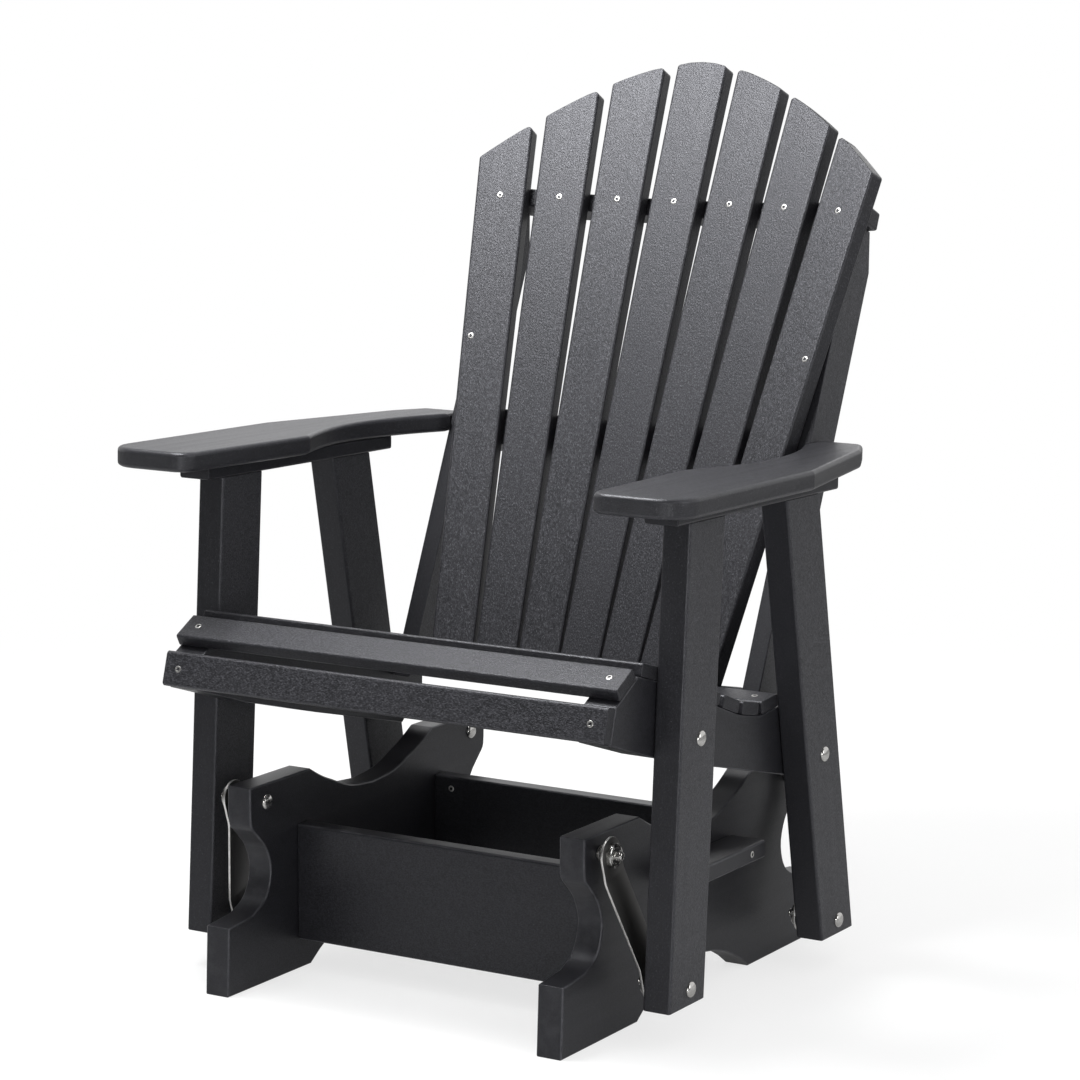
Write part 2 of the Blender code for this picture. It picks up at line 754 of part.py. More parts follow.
def upright_outline():
    """Side outline of an upright: level foot, tapered top that carries the upper rail."""
    out = Vector(back_out().yz)
    top = upper_rail_height() - UPPER_RAIL_THICK / 2 - GAP
    taper = top - UPRIGHT_TAPER
    high, mid, low = upright_front(top), upright_front(taper), upright_front(0)
    slope = (high - low) / (high.y - low.y)
    rear = mid + out * UPRIGHT_DEPTH
    foot = back_foot().z - UPRIGHT_DROP
    front_foot = low + slope * (foot - low.y)
    rear_foot = rear + slope * (foot - rear.y)
    return [tuple(p) for p in (front_foot, rear_foot, rear, high + out * UPRIGHT_TOP_DEPTH, high)]


def make_uprights(lumber):
    outer = upright_outer_x()
    faces = board(upright_outline(), outer - UPRIGHT_THICK, outer, BOARD_ROUND / 2)
    for name, side in SIDES:
        piece(f"back_upright_{name}", faces, side_frame(side), lumber, front_leg_pivot())


# Arms
def make_supports(lumber):
    outer = leg_inner_x() + LEG_THICK + SUPPORT_OVERHANG
    inner = outer - SUPPORT_WIDTH
    start, end = SUPPORT_FRONT_Y, SUPPORT_FRONT_Y + SUPPORT_LENGTH
    outline = [(inner, start), (outer, start), (outer, end), (inner, end)]
    faces = board(outline, 0, SUPPORT_THICK)
    for name, side in SIDES:
        piece(f"arm_support_{name}", faces, arm_frame(side, 0), lumber, front_leg_pivot())


def notch_y():
    """Where an arm's notch clears the front of its upright, at the arm's underside."""
    low, high = upright_front(0), upright_front(BACK_HEIGHT)
    slope = (high.x - low.x) / (high.y - low.y)
    under = support_under_z(ARM_FRONT_Y + ARM_LENGTH) + SUPPORT_THICK
    return low.x + slope * (under - low.y) - GAP


def arm_outline():
    inner_x = leg_inner_x() + LEG_THICK + ARM_OVERHANG - ARM_WIDTH

    def at(share):
        return inner_x + share[0] * ARM_WIDTH, ARM_FRONT_Y + share[1] * ARM_LENGTH

    outer = [at(share) for share in ARM_OUTER_SHARES]
    beside = upright_outer_x() + GAP
    notch = [(beside, ARM_FRONT_Y + ARM_LENGTH), (beside, notch_y())]
    inner = [(inner_x + ARM_NOTCH_SHARE * ARM_WIDTH, notch_y())] + [at(share) for share in ARM_INNER_SHARES]
    front = [(inner_x + ARM_FRONT_INNER_SHARE * ARM_WIDTH, ARM_FRONT_Y)]
    corners = outer + notch + [inner[0], inner[-1]] + front
    radii = [ARM_OUTER_CORNER, 0, ARM_REAR_CORNER, ARM_REAR_CORNER, 0, 0, 0, 0, ARM_INNER_CORNER]
    rounded = round_corners(corners, radii)
    split = len(rounded) - CORNER_STEPS - 1
    return rounded[:split - 2] + smooth_curve(inner, 2) + rounded[split:]


def make_arms(lumber):
    low = GAP
    faces = board(arm_outline(), low, low + ARM_THICK, ARM_ROUND)
    for name, side in SIDES:
        piece(f"arm_{name}", faces, arm_frame(side, SUPPORT_THICK), lumber, front_leg_pivot())


def centre_on_floor():
    """Move the whole part so that its origin is the middle of its box at floor level."""
    spots = [obj.matrix_world @ v.co for obj in bpy.data.objects for v in obj.data.vertices]
    middle = (min(p.y for p in spots) + max(p.y for p in spots)) / 2
    for obj in bpy.data.objects:
        obj.location.y -= middle
    bpy.context.view_layer.update()
    print(f"front line of the base feet at y = {-middle:.6f}")


def main():
    for old in list(bpy.data.objects):
        bpy.data.objects.remove(old, do_unlink=True)
    lumber = material("poly_lumber", (0.035, 0.036, 0.040), 0.62, 0)
    strap_steel = material("strap_steel", (0.60, 0.59, 0.57), 0.35, 1)
    bolt_steel = material("bolt_steel", (0.66, 0.65, 0.63), 0.28, 1)
    ring_steel = material("bearing_steel", (0.72, 0.72, 0.72), 0.18, 1)
    make_base_panels(lumber)
    make_stretchers(lumber)
    make_cleats(lumber)
    make_bolts(bolt_steel)
    make_straps(strap_steel, ring_steel)
    make_legs(lumber)
    make_seat_rails(lumber)
    make_seat_slats(lumber)
    make_back_slats(lumber)
    make_cross_rails(lumber)
    make_uprights(lumber)
    make_supports(lumber)
    make_arms(lumber)
    bpy.context.view_layer.update()
    centre_on_floor()


main()
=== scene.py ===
"""Looks of the adirondack glider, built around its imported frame.

Every board of the frame is drawn again with fully rounded edges, and every bolt, strap and ring
with its real turnings. Sizes are metres, in the frame's own place: +Z up, front toward -Y.
"""
import json
import math

import bmesh
import bpy
from bpy.props import FloatProperty, FloatVectorProperty, IntProperty, PointerProperty
from bpy.types import Operator, Panel, PropertyGroup
from mathutils import Matrix, Vector, geometry

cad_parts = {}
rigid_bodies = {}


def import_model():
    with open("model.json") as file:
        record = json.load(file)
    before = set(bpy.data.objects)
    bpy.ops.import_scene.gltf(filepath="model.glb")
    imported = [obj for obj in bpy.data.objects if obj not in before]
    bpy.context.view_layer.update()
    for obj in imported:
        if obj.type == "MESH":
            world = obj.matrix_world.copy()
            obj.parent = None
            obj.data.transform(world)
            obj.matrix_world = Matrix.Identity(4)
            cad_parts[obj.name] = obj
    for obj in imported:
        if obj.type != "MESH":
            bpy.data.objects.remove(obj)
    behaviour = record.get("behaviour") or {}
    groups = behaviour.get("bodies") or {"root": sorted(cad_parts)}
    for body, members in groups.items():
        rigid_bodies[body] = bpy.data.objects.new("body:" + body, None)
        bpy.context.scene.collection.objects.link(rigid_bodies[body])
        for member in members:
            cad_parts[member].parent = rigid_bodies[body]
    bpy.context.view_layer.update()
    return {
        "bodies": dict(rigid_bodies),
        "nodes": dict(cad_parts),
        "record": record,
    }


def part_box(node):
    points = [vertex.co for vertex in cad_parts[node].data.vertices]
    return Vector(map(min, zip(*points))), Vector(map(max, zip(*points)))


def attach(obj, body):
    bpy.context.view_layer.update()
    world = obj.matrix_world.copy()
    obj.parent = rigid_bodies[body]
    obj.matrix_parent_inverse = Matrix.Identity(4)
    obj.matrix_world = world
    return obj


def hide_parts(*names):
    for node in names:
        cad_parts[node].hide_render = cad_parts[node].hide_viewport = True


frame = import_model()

bl_info = {
    "name": "Adirondack glider",
    "version": (1, 0, 0),
    "blender": (4, 5, 0),
    "location": "View3D > Sidebar > Glider",
    "description": "Dresses the glider's frame with finished boards, steel hardware and a stage",
    "category": "Object",
}

NODES = frame["nodes"]
BODIES = frame["record"]["behaviour"]["bodies"]
NODE_BODY = {node: body for body, nodes in BODIES.items() for node in nodes}
SIDES = (("left", -1), ("right", 1))
ENDS = ("front", "rear")
CORNERS = [(f"{end}_{side}", sign) for side, sign in SIDES for end in ENDS]
SEAT_SLATS = range(1, 10)
BACK_SLATS = range(1, 8)
MIDDLE_SLAT = 4
X_AXIS, Y_AXIS = Vector((1, 0, 0)), Vector((0, 1, 0))

# Distances: two points that are one, an arm's corner edges, and where a line of sight starts
MERGE = 0.00002
CREASE_REACH = 0.008
FAR_OFF = 1.0
ABOVE_BOARD = 0.1

# How much of a face's normal lies along its board's or strap's thickness (slope) or length (pitch)
WALL_SLOPE = 0.02
BROAD_SLOPE = 0.99
ROUND_SLOPES = (0.05, 0.985)
SKIN_SLOPES = (0.45, 0.95)
EASED_PITCHES = (0.3, 0.85)
SAWN_PITCH = 0.8
RIM_SLOPE = 0.6

# Columns beside a board's rounding, in shares of its radius, and the pattern's step between boards
BESIDE_ROUNDING = (1.4, 2.0)
PATTERN_STEP = Vector((0.613, 1.271, 0.379))

# Turned pieces as (share of thickness, share of radius)
RING_PROFILE = (
    (0.0, 0.62), (0.0, 0.89), (0.04, 0.93), (0.15, 0.93), (0.19, 0.86), (0.25, 0.86), (0.29, 0.92),
    (0.39, 0.92), (0.43, 0.85), (0.49, 0.85), (0.53, 0.92), (0.63, 0.92), (0.67, 0.85), (0.73, 0.85),
    (0.77, 0.93), (0.93, 0.93), (1.0, 0.89), (1.0, 0.83), (0.90, 0.80), (0.90, 0.73), (1.0, 0.70),
    (1.0, 0.60), (0.94, 0.57), (0.94, 0.36),
)
FLANGE_PROFILE = (
    (0, 0.80), (0, 0.96), (0.16, 1), (0.30, 1), (0.36, 0.82), (0.62, 0.80), (0.66, 0.98), (0.84, 1),
    (1, 0.90), (1, 0.6),
)
FLANGE_SIDES, TOOTH_SIDES = 36, 3
TOOTH_START, TOOTH_RADIUS, TOOTH_DEPTH = 0.64, 0.85, 0.86
CROWN_START, DOME_FALL, DOME_FULLNESS = 0.12, 0.9, 0.85
THREAD_PITCH, THREAD_ROOT, THREAD_CREST, THREAD_END, THREAD_POINT = 0.0010, 0.90, (0.35, 0.6), 0.4, 0.78
HEAD_SINK, RECESS_EASE = 0.001, 0.0002

# Darkest and lightest share of a board's color, share of the flecks (partly painted glints) on its sides, and
# its gloss
SKIN_CONTRAST = (0.35, 1.5)
WALL_CONTRAST = (0.7, 1.25)
WALL_FLECKS = 0.6
GLOSS_TINT = (0.93, 0.94, 1.0, 1.0)

# Between which values of its pattern each effect comes in
FLECK_STARTS, FLECK_GAIN = (0.74, 0.48), 9.0
GRAIN_SPAN, LINE_SPAN, SCRAPE_SPAN = (0.38, 0.60), (0.45, 0.75), (0.40, 0.75)
CLOUD_SPAN, WEAR_AND_HIGHLIGHT_SPAN, STAIN_SPAN, MARK_SPAN = (0.3, 0.7), (0.35, 0.70), (0.35, 0.65), (0.3, 0.7)
GLOSS_SPAN = (-0.25, 0.35)

# Least rubbing and painted highlight of a rounded edge, relief of a board's sides, and how rough its parts
# are beside the rest
LEAST_WEAR_AND_HIGHLIGHT, WALL_RELIEF = 0.25, 0.7
SMOOTHER_CLOUD, ROUGHER_CLOUD, SMOOTHER_EDGE, ROUGHER_SAWN = 0.015, 0.02, 0.08, 0.12

# Depth of the skin and of fine marks, shade of stains, and the painted shade in a driver recess, fading out
# just past its edge
SKIN_DEPTH, MARK_DEPTH, STAIN_SHADE = 0.0006, 0.0001, 0.75
RECESS_SHADE_COLOR, RECESS_SHADE_REACH = (0.02, 0.02, 0.02), (0.98, 1.08)

# Each lamp's place, target, width and height
LAMPS = {
    "key": ((-0.45, -0.55, 2.3), (0, 0.3, 1.0), 0.7, 0.5),
    "fill": ((-1.2, -1.1, 2.5), (0, 0.25, 0.9), 0.8, 0.7),
    "right": ((3.4, -0.6, 1.7), (0, 0, 0.6), 1.4, 2.0),
    "front": ((1.7, -3.1, 0.55), (0, 0, 0.45), 0.35, 1.3),
    "left": ((-3.2, -0.8, 1.6), (0, 0, 0.6), 1.4, 2.0),
    "rear": ((-1.6, 3.2, 1.9), (0, 0, 0.6), 2.4, 1.4),
}
SENSOR_WIDTH, CLIP_START, CLIP_END = 36, 0.05, 100


# Settings that a user would change
def length(name, description, default):
    return FloatProperty(
        name=name, description=description, default=default, min=0, precision=4, unit="LENGTH"
    )


def number(name, description, default, low=0.0, high=1.0):
    return FloatProperty(name=name, description=description, default=default, min=low, max=high)


def whole(name, description, default):
    return IntProperty(name=name, description=description, default=default, min=1, max=64)


def color(name, description, default):
    return FloatVectorProperty(
        name=name, description=description, default=default, size=3, min=0, max=1, subtype="COLOR"
    )


def angle(name, description, degrees):
    return FloatProperty(name=name, description=description, default=math.radians(degrees), subtype="ANGLE")


def coordinate(name, description, default):
    return FloatProperty(name=name, description=description, default=default, precision=4, unit="LENGTH")


class BoardSizes(PropertyGroup):
    board_round: length("Board edge", "Radius of the routed edges of the thick boards", 0.0035)
    panel_round: length("Panel edge", "Radius of the routed edges of the base's side panels", 0.00245)
    rail_round: length("Rail edge", "Radius of the edges of the seat rails and back uprights", 0.00176)
    arm_round: length("Arm edge", "Radius of the arms' routed edges", 0.0062)
    slat_round: length("Slat edge", "Radius of the long edges of the slats", 0.0034)
    sawn_round: length("Sawn edge", "Radius of the eased edges at sawn ends", 0.0011)
    apron_round: length("Apron edge", "Radius of the apron's long edges", 0.0042)
    crown_trim: length("Crown trim", "How much the sawn crown lies below the frame's rounded one", 0.0025)
    arm_corner: number("Arm corner", "Share of the arm's length in front of its outer corner", 0.547)
    steps: whole("Edge steps", "Facets across each rounded edge", 5)


class HardwareSizes(PropertyGroup):
    shank: length("Shank", "Radius of the bolts' shanks", 0.0048)
    dome_radius: length("Dome radius", "Radius of the domed bolt heads", 0.0102)
    dome_height: length("Dome height", "Height of the domed bolt heads", 0.0048)
    flange_radius: length("Flange radius", "Radius of the serrated flange nuts", 0.0098)
    flange_thick: length("Flange thickness", "Thickness of the serrated flange nuts", 0.0064)
    nut_radius: length("Nut radius", "Radius across the corners of the lock nuts", 0.0064)
    nut_thick: length("Nut thickness", "Thickness of the lock nuts", 0.0055)
    tail: length("Bolt tail", "Thread that stands out beyond the lock nut", 0.0030)
    washer: length("Washer", "Thickness of the washers under the nuts", 0.0012)
    strap_thick: length("Strap thickness", "Thickness of the straps", 0.0032)
    strap_bend: length("Strap bend", "Distance from each pivot to the strap's bend", 0.0305)
    strap_bend_reach: length("Bend length", "Length over which the strap bends", 0.0060)
    strap_edge: length("Strap edge", "Radius of the strap's dressed edges", 0.0006)
    fit: length("Fit", "Gap between pieces that touch", 0.0003)
    front_bolt_y: coordinate("Front bolt depth", "Place in Y of the bolts through the front legs", -0.251393)
    front_bolt_z: length("Front bolt height", "Height of the bolts through the front legs", 0.376682)
    rear_bolt_y: coordinate("Rear bolt depth", "Place in Y of the bolts through the rear legs", 0.082871)
    rear_bolt_z: length("Rear bolt height", "Height of the bolts through the rear legs", 0.292608)


class ScrewSizes(PropertyGroup):
    head_radius: length("Head radius", "Radius of the wood screws' heads", 0.0043)
    head_height: length("Head height", "Height of the heads above the board", 0.0007)
    recess_radius: length("Recess radius", "Radius of the driver recess", 0.0021)
    recess_depth: length("Recess depth", "Depth of the driver recess", 0.0022)
    sink: length("Sink", "How deep the head's rim goes into the board", 0.0006)
    seat_inset: length("Seat inset", "Distance of the seat screws from the ends of their slats", 0.0216)
    back_height: length("Upper screws", "Height of the screws in the upper back rail", 0.9715)
    back_pitch: length("Upper pitch", "Distance between the screws in the upper back rail", 0.0869)
    mid_height: length("Middle screws", "Height of the screws in the outer back slats", 0.7831)
    mid_reach: length("Middle reach", "Distance of the middle screws from the center", 0.2573)
    low_height: length("Lower screws", "Height of the hidden screws at the feet of the back slats", 0.3595)
    low_pitch: length("Lower pitch", "Distance between the hidden screws at the back slats' feet", 0.0615)
    stretcher_reach: length("Stretcher reach", "Distance of the stretcher screws from the center", 0.2007)
    stretcher_height: length("Stretcher height", "Height of the stretcher screws", 0.1778)
    cleat_front: length("Cleat front", "Distance of the front cleat screws from the cleat's middle", 0.07364)
    cleat_rear: length("Cleat rear", "Distance of the rear cleat screws from the cleat's middle", 0.0526)


class Finishes(PropertyGroup):
    skin: color("Skin", "Color of the lumber's embossed skin", (0.019, 0.019, 0.022))
    drawn: color("Drawn", "Color of the legs' broad sides", (0.024, 0.024, 0.027))
    arm_side: color("Arm sides", "Color of the arms' routed sides", (0.014, 0.014, 0.016))
    # Rims: a painted highlight along the panels' rounded rims, lighter than the lumber
    rim: color("Rims", "Color of the panels' rubbed rims", (0.046, 0.046, 0.051))
    milled: color("Milled lumber", "Color of the lumber's milled sides", (0.0095, 0.0095, 0.0115))
    # Fleck: pale flecks in the skin, partly its own specks and partly painted glints
    fleck_and_glint: color("Fleck", "Color of the pale flecks in the skin", (0.12, 0.12, 0.13))
    # Edge: the drawn lines along the boards and the rubbed edges, which also stand as a painted highlight
    edge: color("Edge", "Color of the lumber where its edges are rubbed", (0.034, 0.034, 0.038))
    scrape: color("Scrape", "Color of the scrapes on sawn ends", (0.09, 0.09, 0.095))
    steel: color("Steel", "Color of the stainless bolts", (0.74, 0.73, 0.71))
    strap: color("Strap", "Color of the straps", (0.92, 0.91, 0.89))
    ring: color("Ring", "Color of the bearing rings", (0.66, 0.655, 0.64))


class StageSettings(PropertyGroup):
    azimuth: angle("Azimuth", "Camera's turn toward the glider's left side", 31.4793)
    elevation: angle("Elevation", "Camera's height above the horizon", 10.2325)
    roll: angle("Roll", "Camera's roll", 0.16767)
    distance: length("Distance", "Distance of the camera from its target", 4.62414)
    target_y: coordinate("Target depth", "Place in Y of the camera's target", -0.108899)
    target_z: length("Target height", "Height of the camera's target", 0.508)
    lens: number("Lens", "Focal length in millimeters", 120.3625, 1, 500)
    shift_x: number("Shift across", "Camera shift across", 0.02941, -1, 1)
    shift_y: number("Shift up", "Camera shift up", 0.04136, -1, 1)
    floor_size: length("Floor size", "Width of the floor", 30.0)
    floor_color: color("Floor", "Color of the floor", (0.90, 0.90, 0.90))
    world_light: number("World light", "Strength of the light from all round", 0.95, 0, 10)
    front_gloss: number("Front gloss", "Brightness that gloss sees in front of the glider", 0.05)
    back_gloss: number("Back gloss", "Brightness that gloss sees behind the glider", 0.79)
    floor_gloss: number("Floor gloss", "Brightness of the floor that gloss sees", 0.30)
    shadow_share: number("Shadow", "Share of the floor's own shading that shows near the glider", 0.30)
    shadow_near: length("Shadow near", "Distance up to which the whole share shows", 0.9)
    shadow_far: length("Shadow far", "Distance beyond which the floor is plain white", 2.4)
    key_power: number("Key power", "Power of the softbox above the seat, in watts", 50, 0, 1000)
    fill_power: number("Fill power", "Power of the softbox above the front left, in watts", 4, 0, 1000)
    right_power: number("Right power", "Power of the softbox at the right, in watts", 21, 0, 1000)
    left_power: number("Left power", "Power of the softbox at the left, in watts", 6, 0, 1000)
    front_power: number("Front power", "Power of the strip in front, in watts", 24, 0, 1000)
    rear_power: number("Rear power", "Power of the softbox behind, in watts", 9, 0, 1000)


class GliderSettings(PropertyGroup):
    boards: PointerProperty(type=BoardSizes)
    hardware: PointerProperty(type=HardwareSizes)
    screws: PointerProperty(type=ScrewSizes)
    finishes: PointerProperty(type=Finishes)
    stage: PointerProperty(type=StageSettings)


def glider():
    """The settings that every step works from."""
    return bpy.context.scene.glider


# Selecting and editing
def select_only(*pieces):
    """Select just these pieces and make the first one active."""
    bpy.ops.object.select_all(action="DESELECT")
    for piece in pieces:
        piece.select_set(True)
    bpy.context.view_layer.objects.active = pieces[0]


def start_edit(piece):
    select_only(piece)
    bpy.ops.object.mode_set(mode="EDIT")


def end_edit():
    bpy.ops.object.mode_set(mode="OBJECT")


def choose(piece, kind, test):
    """In edit mode, select only the vertices, edges or faces that pass a test."""
    bpy.ops.mesh.select_mode(type=kind)
    bpy.ops.mesh.select_all(action="DESELECT")
    body = bmesh.from_edit_mesh(piece.data)
    parts = {"VERT": body.verts, "EDGE": body.edges, "FACE": body.faces}[kind]
    for part in parts:
        if test(part):
            part.select_set(True)
    body.select_flush_mode()
    bmesh.update_edit_mesh(piece.data)


def face_outward():
    """In edit mode, turn every face outwards."""
    bpy.ops.mesh.select_all(action="SELECT")
    bpy.ops.mesh.normals_make_consistent(inside=False)


def apply_modifier(piece, kind, **values):
    """Add a modifier with these values and apply it."""
    select_only(piece)
    modifier = piece.modifiers.new(kind.lower(), kind)
    for name, value in values.items():
        setattr(modifier, name, value)
    bpy.ops.object.modifier_apply(modifier=modifier.name)


def soften(piece):
    """Smooth shading that keeps the broad faces flat."""
    select_only(piece)
    bpy.ops.object.shade_smooth()
    apply_modifier(piece, "WEIGHTED_NORMAL", keep_sharp=False)


def soften_by_angle(piece, degrees=35):
    select_only(piece)
    bpy.ops.object.shade_smooth_by_angle(angle=math.radians(degrees))


def crease_at(piece, y):
    """Keep the short edges near this y sharp."""
    start_edit(piece)
    choose(piece, "EDGE", lambda e: all(abs(v.co.y - y) < CREASE_REACH for v in e.verts))
    bpy.ops.mesh.mark_sharp()
    end_edit()


def add_shape(shape, **values):
    """Add a primitive with nothing else selected, its place and turn in its mesh."""
    bpy.ops.object.select_all(action="DESELECT")
    getattr(bpy.ops.mesh, f"primitive_{shape}_add")(**values)
    bpy.ops.object.transform_apply(location=True, rotation=True, scale=True)
    return bpy.context.view_layer.objects.active


def join(name, pieces):
    select_only(*pieces)
    if len(pieces) > 1:
        bpy.ops.object.join()
    joined = bpy.context.view_layer.objects.active
    joined.name = joined.data.name = name
    return joined


def new_object(name, data):
    """An object with this data, in the scene."""
    made = bpy.data.objects.new(name, data)
    bpy.context.scene.collection.objects.link(made)
    return made


def placed_copy(master, name, matrix):
    """A copy with its own mesh, carried to its place in its mesh."""
    mesh = master.data.copy()
    mesh.name = name
    mesh.transform(matrix)
    if matrix.determinant() < 0:
        mesh.flip_normals()
    return new_object(name, mesh)


def discard(*pieces):
    for piece in pieces:
        bpy.data.objects.remove(piece, do_unlink=True)


def write_values(mesh, name, kind, domain, values):
    """Store one value for each element of a mesh under a name that materials read."""
    attribute = mesh.attributes.get(name) or mesh.attributes.new(name, kind, domain)
    field = "vector" if kind == "FLOAT_VECTOR" else "value"
    attribute.data.foreach_set(field, values)


# Boards
def run_of(edge):
    return edge.verts[1].co - edge.verts[0].co


def board_axes(piece):
    """Thickness, length and width directions of a board, in edit mode."""
    body = bmesh.from_edit_mesh(piece.data)
    broad = max(body.faces, key=lambda face: (len(face.verts), round(face.calc_area(), 7)))
    depth = broad.normal.copy()
    flat = [edge for edge in body.edges if abs(run_of(edge).dot(depth)) < MERGE]
    along = run_of(max(flat, key=lambda edge: round(edge.calc_length(), 6))).normalized()
    return depth, along, depth.cross(along)


def keep_outer_wall(board, depth, along):
    """In edit mode, leave only the wall round the board, without its broad faces and holes."""
    choose(board, "FACE", lambda face: abs(face.normal.dot(depth)) < WALL_SLOPE)
    bpy.ops.mesh.select_all(action="INVERT")
    bpy.ops.mesh.delete(type="FACE")
    body = bmesh.from_edit_mesh(board.data)
    outer = max(body.faces, key=lambda face: face.calc_center_median().dot(along)).index
    choose(board, "FACE", lambda face: face.index == outer)
    bpy.ops.mesh.select_linked()
    bpy.ops.mesh.select_all(action="INVERT")
    bpy.ops.mesh.delete(type="FACE")


def close_wall(board, depth, low, high):
    """In edit mode, carry the wall's rims out to the broad faces' levels and fill them."""
    for way, level in ((-1, low), (1, high)):
        choose(board, "VERT", lambda v: (v.co.dot(depth) - (low + high) / 2) * way > 0)
        body = bmesh.from_edit_mesh(board.data)
        here = next(v.co.dot(depth) for v in body.verts if v.select)
        bpy.ops.transform.translate(value=depth * (level - here))
        bpy.ops.mesh.edge_face_add()


def draw_sharp_board(node, name):
    """Copy a node's outline as a board with sharp edges, and tell its directions."""
    mesh = NODES[node].data.copy()
    mesh.materials.clear()
    mesh.name = name
    board = new_object(name, mesh)
    start_edit(board)
    bpy.ops.mesh.select_all(action="SELECT")
    bpy.ops.mesh.customdata_custom_splitnormals_clear()
    bpy.ops.mesh.remove_doubles(threshold=MERGE)
    bpy.ops.mesh.dissolve_limited(angle_limit=math.radians(0.4))
    axes = board_axes(board)
    depth, along, _ = axes
    levels = [v.co.dot(depth) for v in bmesh.from_edit_mesh(board.data).verts]
    keep_outer_wall(board, depth, along)
    close_wall(board, depth, min(levels), max(levels))
    face_outward()
    end_edit()
    return board, axes


def outline_of(board, axes):
    """A sharp board's outline as (across, along) points, and the levels of its broad faces."""
    depth, along, across = axes
    broad = max(board.data.polygons, key=lambda face: face.normal.dot(depth))
    corners = [board.data.vertices[index].co for index in broad.vertices]
    levels = [vertex.co.dot(depth) for vertex in board.data.vertices]
    outline = [Vector((corner.dot(across), corner.dot(along))) for corner in corners]
    return outline, min(levels), max(levels)


def sides_of(outline):
    return list(zip(outline, outline[1:] + outline[:1]))


def long_sides(outline):
    """The two long straight sides of an outline, left one first, each from its low end up."""
    longest = sorted(sides_of(outline), key=lambda side: -abs(side[1].y - side[0].y))[:2]
    upward = [side if side[0].y < side[1].y else (side[1], side[0]) for side in longest]
    return sorted(upward, key=lambda side: side[0].x + side[1].x)


def crossings(outline, low, high):
    """Where a line across the outline enters and leaves it, as places along the board."""
    found = [geometry.intersect_line_line_2d(low, high, *side) for side in sides_of(outline)]
    found = sorted((place for place in found if place), key=lambda place: place.y)
    return found[0], found[-1]


def board_columns(outline, radius, steps, strips):
    """Columns of a board from left to right: low end, high end and drop below the broad face."""
    left, right = long_sides(outline)
    reach = max(point.y for point in outline) - min(point.y for point in outline)

    def past_ends(side, offset):
        """Two points beside a long side, half the board's length below and above its ends."""
        run = (side[1] - side[0]) * (reach / (side[1] - side[0]).y)
        return [side[0] + run * share + Vector((offset, 0)) for share in (-0.5, 1.5)]

    def column(side, offset, drop):
        if offset == 0:
            return (*side, drop)
        return (*crossings(outline, *past_ends(side, offset)), drop)

    turns = [math.pi / 2 * i / steps for i in range(steps + 1)]
    rims = [(radius * (1 - math.cos(turn)), radius * (1 - math.sin(turn))) for turn in turns]
    rims += [(radius * share, 0) for share in BESIDE_ROUNDING]
    flat = rims[-1][0]
    columns = [column(left, offset, drop) for offset, drop in rims]
    for i in range(1, strips):
        pairs = zip(past_ends(left, flat), past_ends(right, -flat))
        columns.append((*crossings(outline, *(near.lerp(far, i / strips) for near, far in pairs)), 0))
    return columns + [column(right, -offset, drop) for offset, drop in reversed(rims)]


def ease_ends(board, along, caps, heads):
    """Break the sharp rims of a board's sawn ends with a small chamfer."""
    ease = glider().boards.sawn_round
    body = bmesh.from_edit_mesh(board.data)
    body.verts.ensure_lookup_table()
    rims = {tuple(vertex.co): index in heads for index, vertex in enumerate(body.verts)}
    choose(board, "FACE", lambda face: face.index in caps)
    bpy.ops.mesh.inset(thickness=ease, depth=0, use_even_offset=True)
    body = bmesh.from_edit_mesh(board.data)
    chosen = {vertex for face in body.faces if face.select for vertex in face.verts}
    for vertex in body.verts:
        place = tuple(vertex.co)
        if place in rims and vertex not in chosen:
            vertex.co += along * (-ease if rims[place] else ease)
    body.normal_update()
    bmesh.update_edit_mesh(board.data)


def mill_board(sharp, axes, name, radius, strips, trim):
    """Mill a straight board with rounded long edges, then saw its ends along the outline."""
    depth, along, across = axes
    outline, low, high = outline_of(sharp, axes)
    columns = board_columns(outline, radius, glider().boards.steps, strips)
    last = len(columns) - 1
    board = add_shape("grid", x_subdivisions=last, y_subdivisions=1, size=1)
    start_edit(board)
    bpy.ops.mesh.select_all(action="SELECT")
    bpy.ops.mesh.extrude_region_move(TRANSFORM_OT_translate={"value": (0, 0, 1)})
    body = bmesh.from_edit_mesh(board.data)
    body.faces.index_update()
    body.verts.index_update()
    caps = {face.index for face in body.faces if len({v.co.z > 0.5 for v in face.verts}) == 1}
    heads = {vertex.index for vertex in body.verts if vertex.co.z > 0.5}
    for vertex in body.verts:
        foot, head, drop = columns[round((vertex.co.x + 0.5) * last)]
        at_head = vertex.co.z > 0.5
        end = head if at_head else foot
        level = low + drop if vertex.co.y < 0 else high - drop
        cut = math.copysign(trim, along.z) if at_head == (along.z > 0) else 0
        vertex.co = across * end.x + along * (end.y - cut) + depth * level
    body.normal_update()
    bmesh.update_edit_mesh(board.data)
    ease_ends(board, along, caps, heads)
    face_outward()
    end_edit()
    board.name = board.data.name = name
    for layer in list(board.data.uv_layers):
        board.data.uv_layers.remove(layer)
    return board


def route_board(board, axes, radius):
    """Round both rims of a shaped board all the way round, and ease its corners."""
    sizes = glider().boards
    depth = axes[0]
    body = bmesh.new()
    body.from_mesh(board.data)
    shares = []
    for edge in body.edges:
        slopes = sorted(abs(face.normal.dot(depth)) for face in edge.link_faces)
        shares.append(1 if slopes[0] < WALL_SLOPE and slopes[-1] > BROAD_SLOPE else 0)
    body.free()
    write_values(board.data, "bevel_weight_edge", "FLOAT", "EDGE", shares)
    apply_modifier(
        board, "BEVEL", width=radius, segments=sizes.steps, limit_method="WEIGHT", use_clamp_overlap=False,
        material=1,
    )
    apply_modifier(
        board, "BEVEL", width=sizes.sawn_round, segments=2, limit_method="ANGLE",
        angle_limit=math.radians(40), use_clamp_overlap=False, material=1,
    )


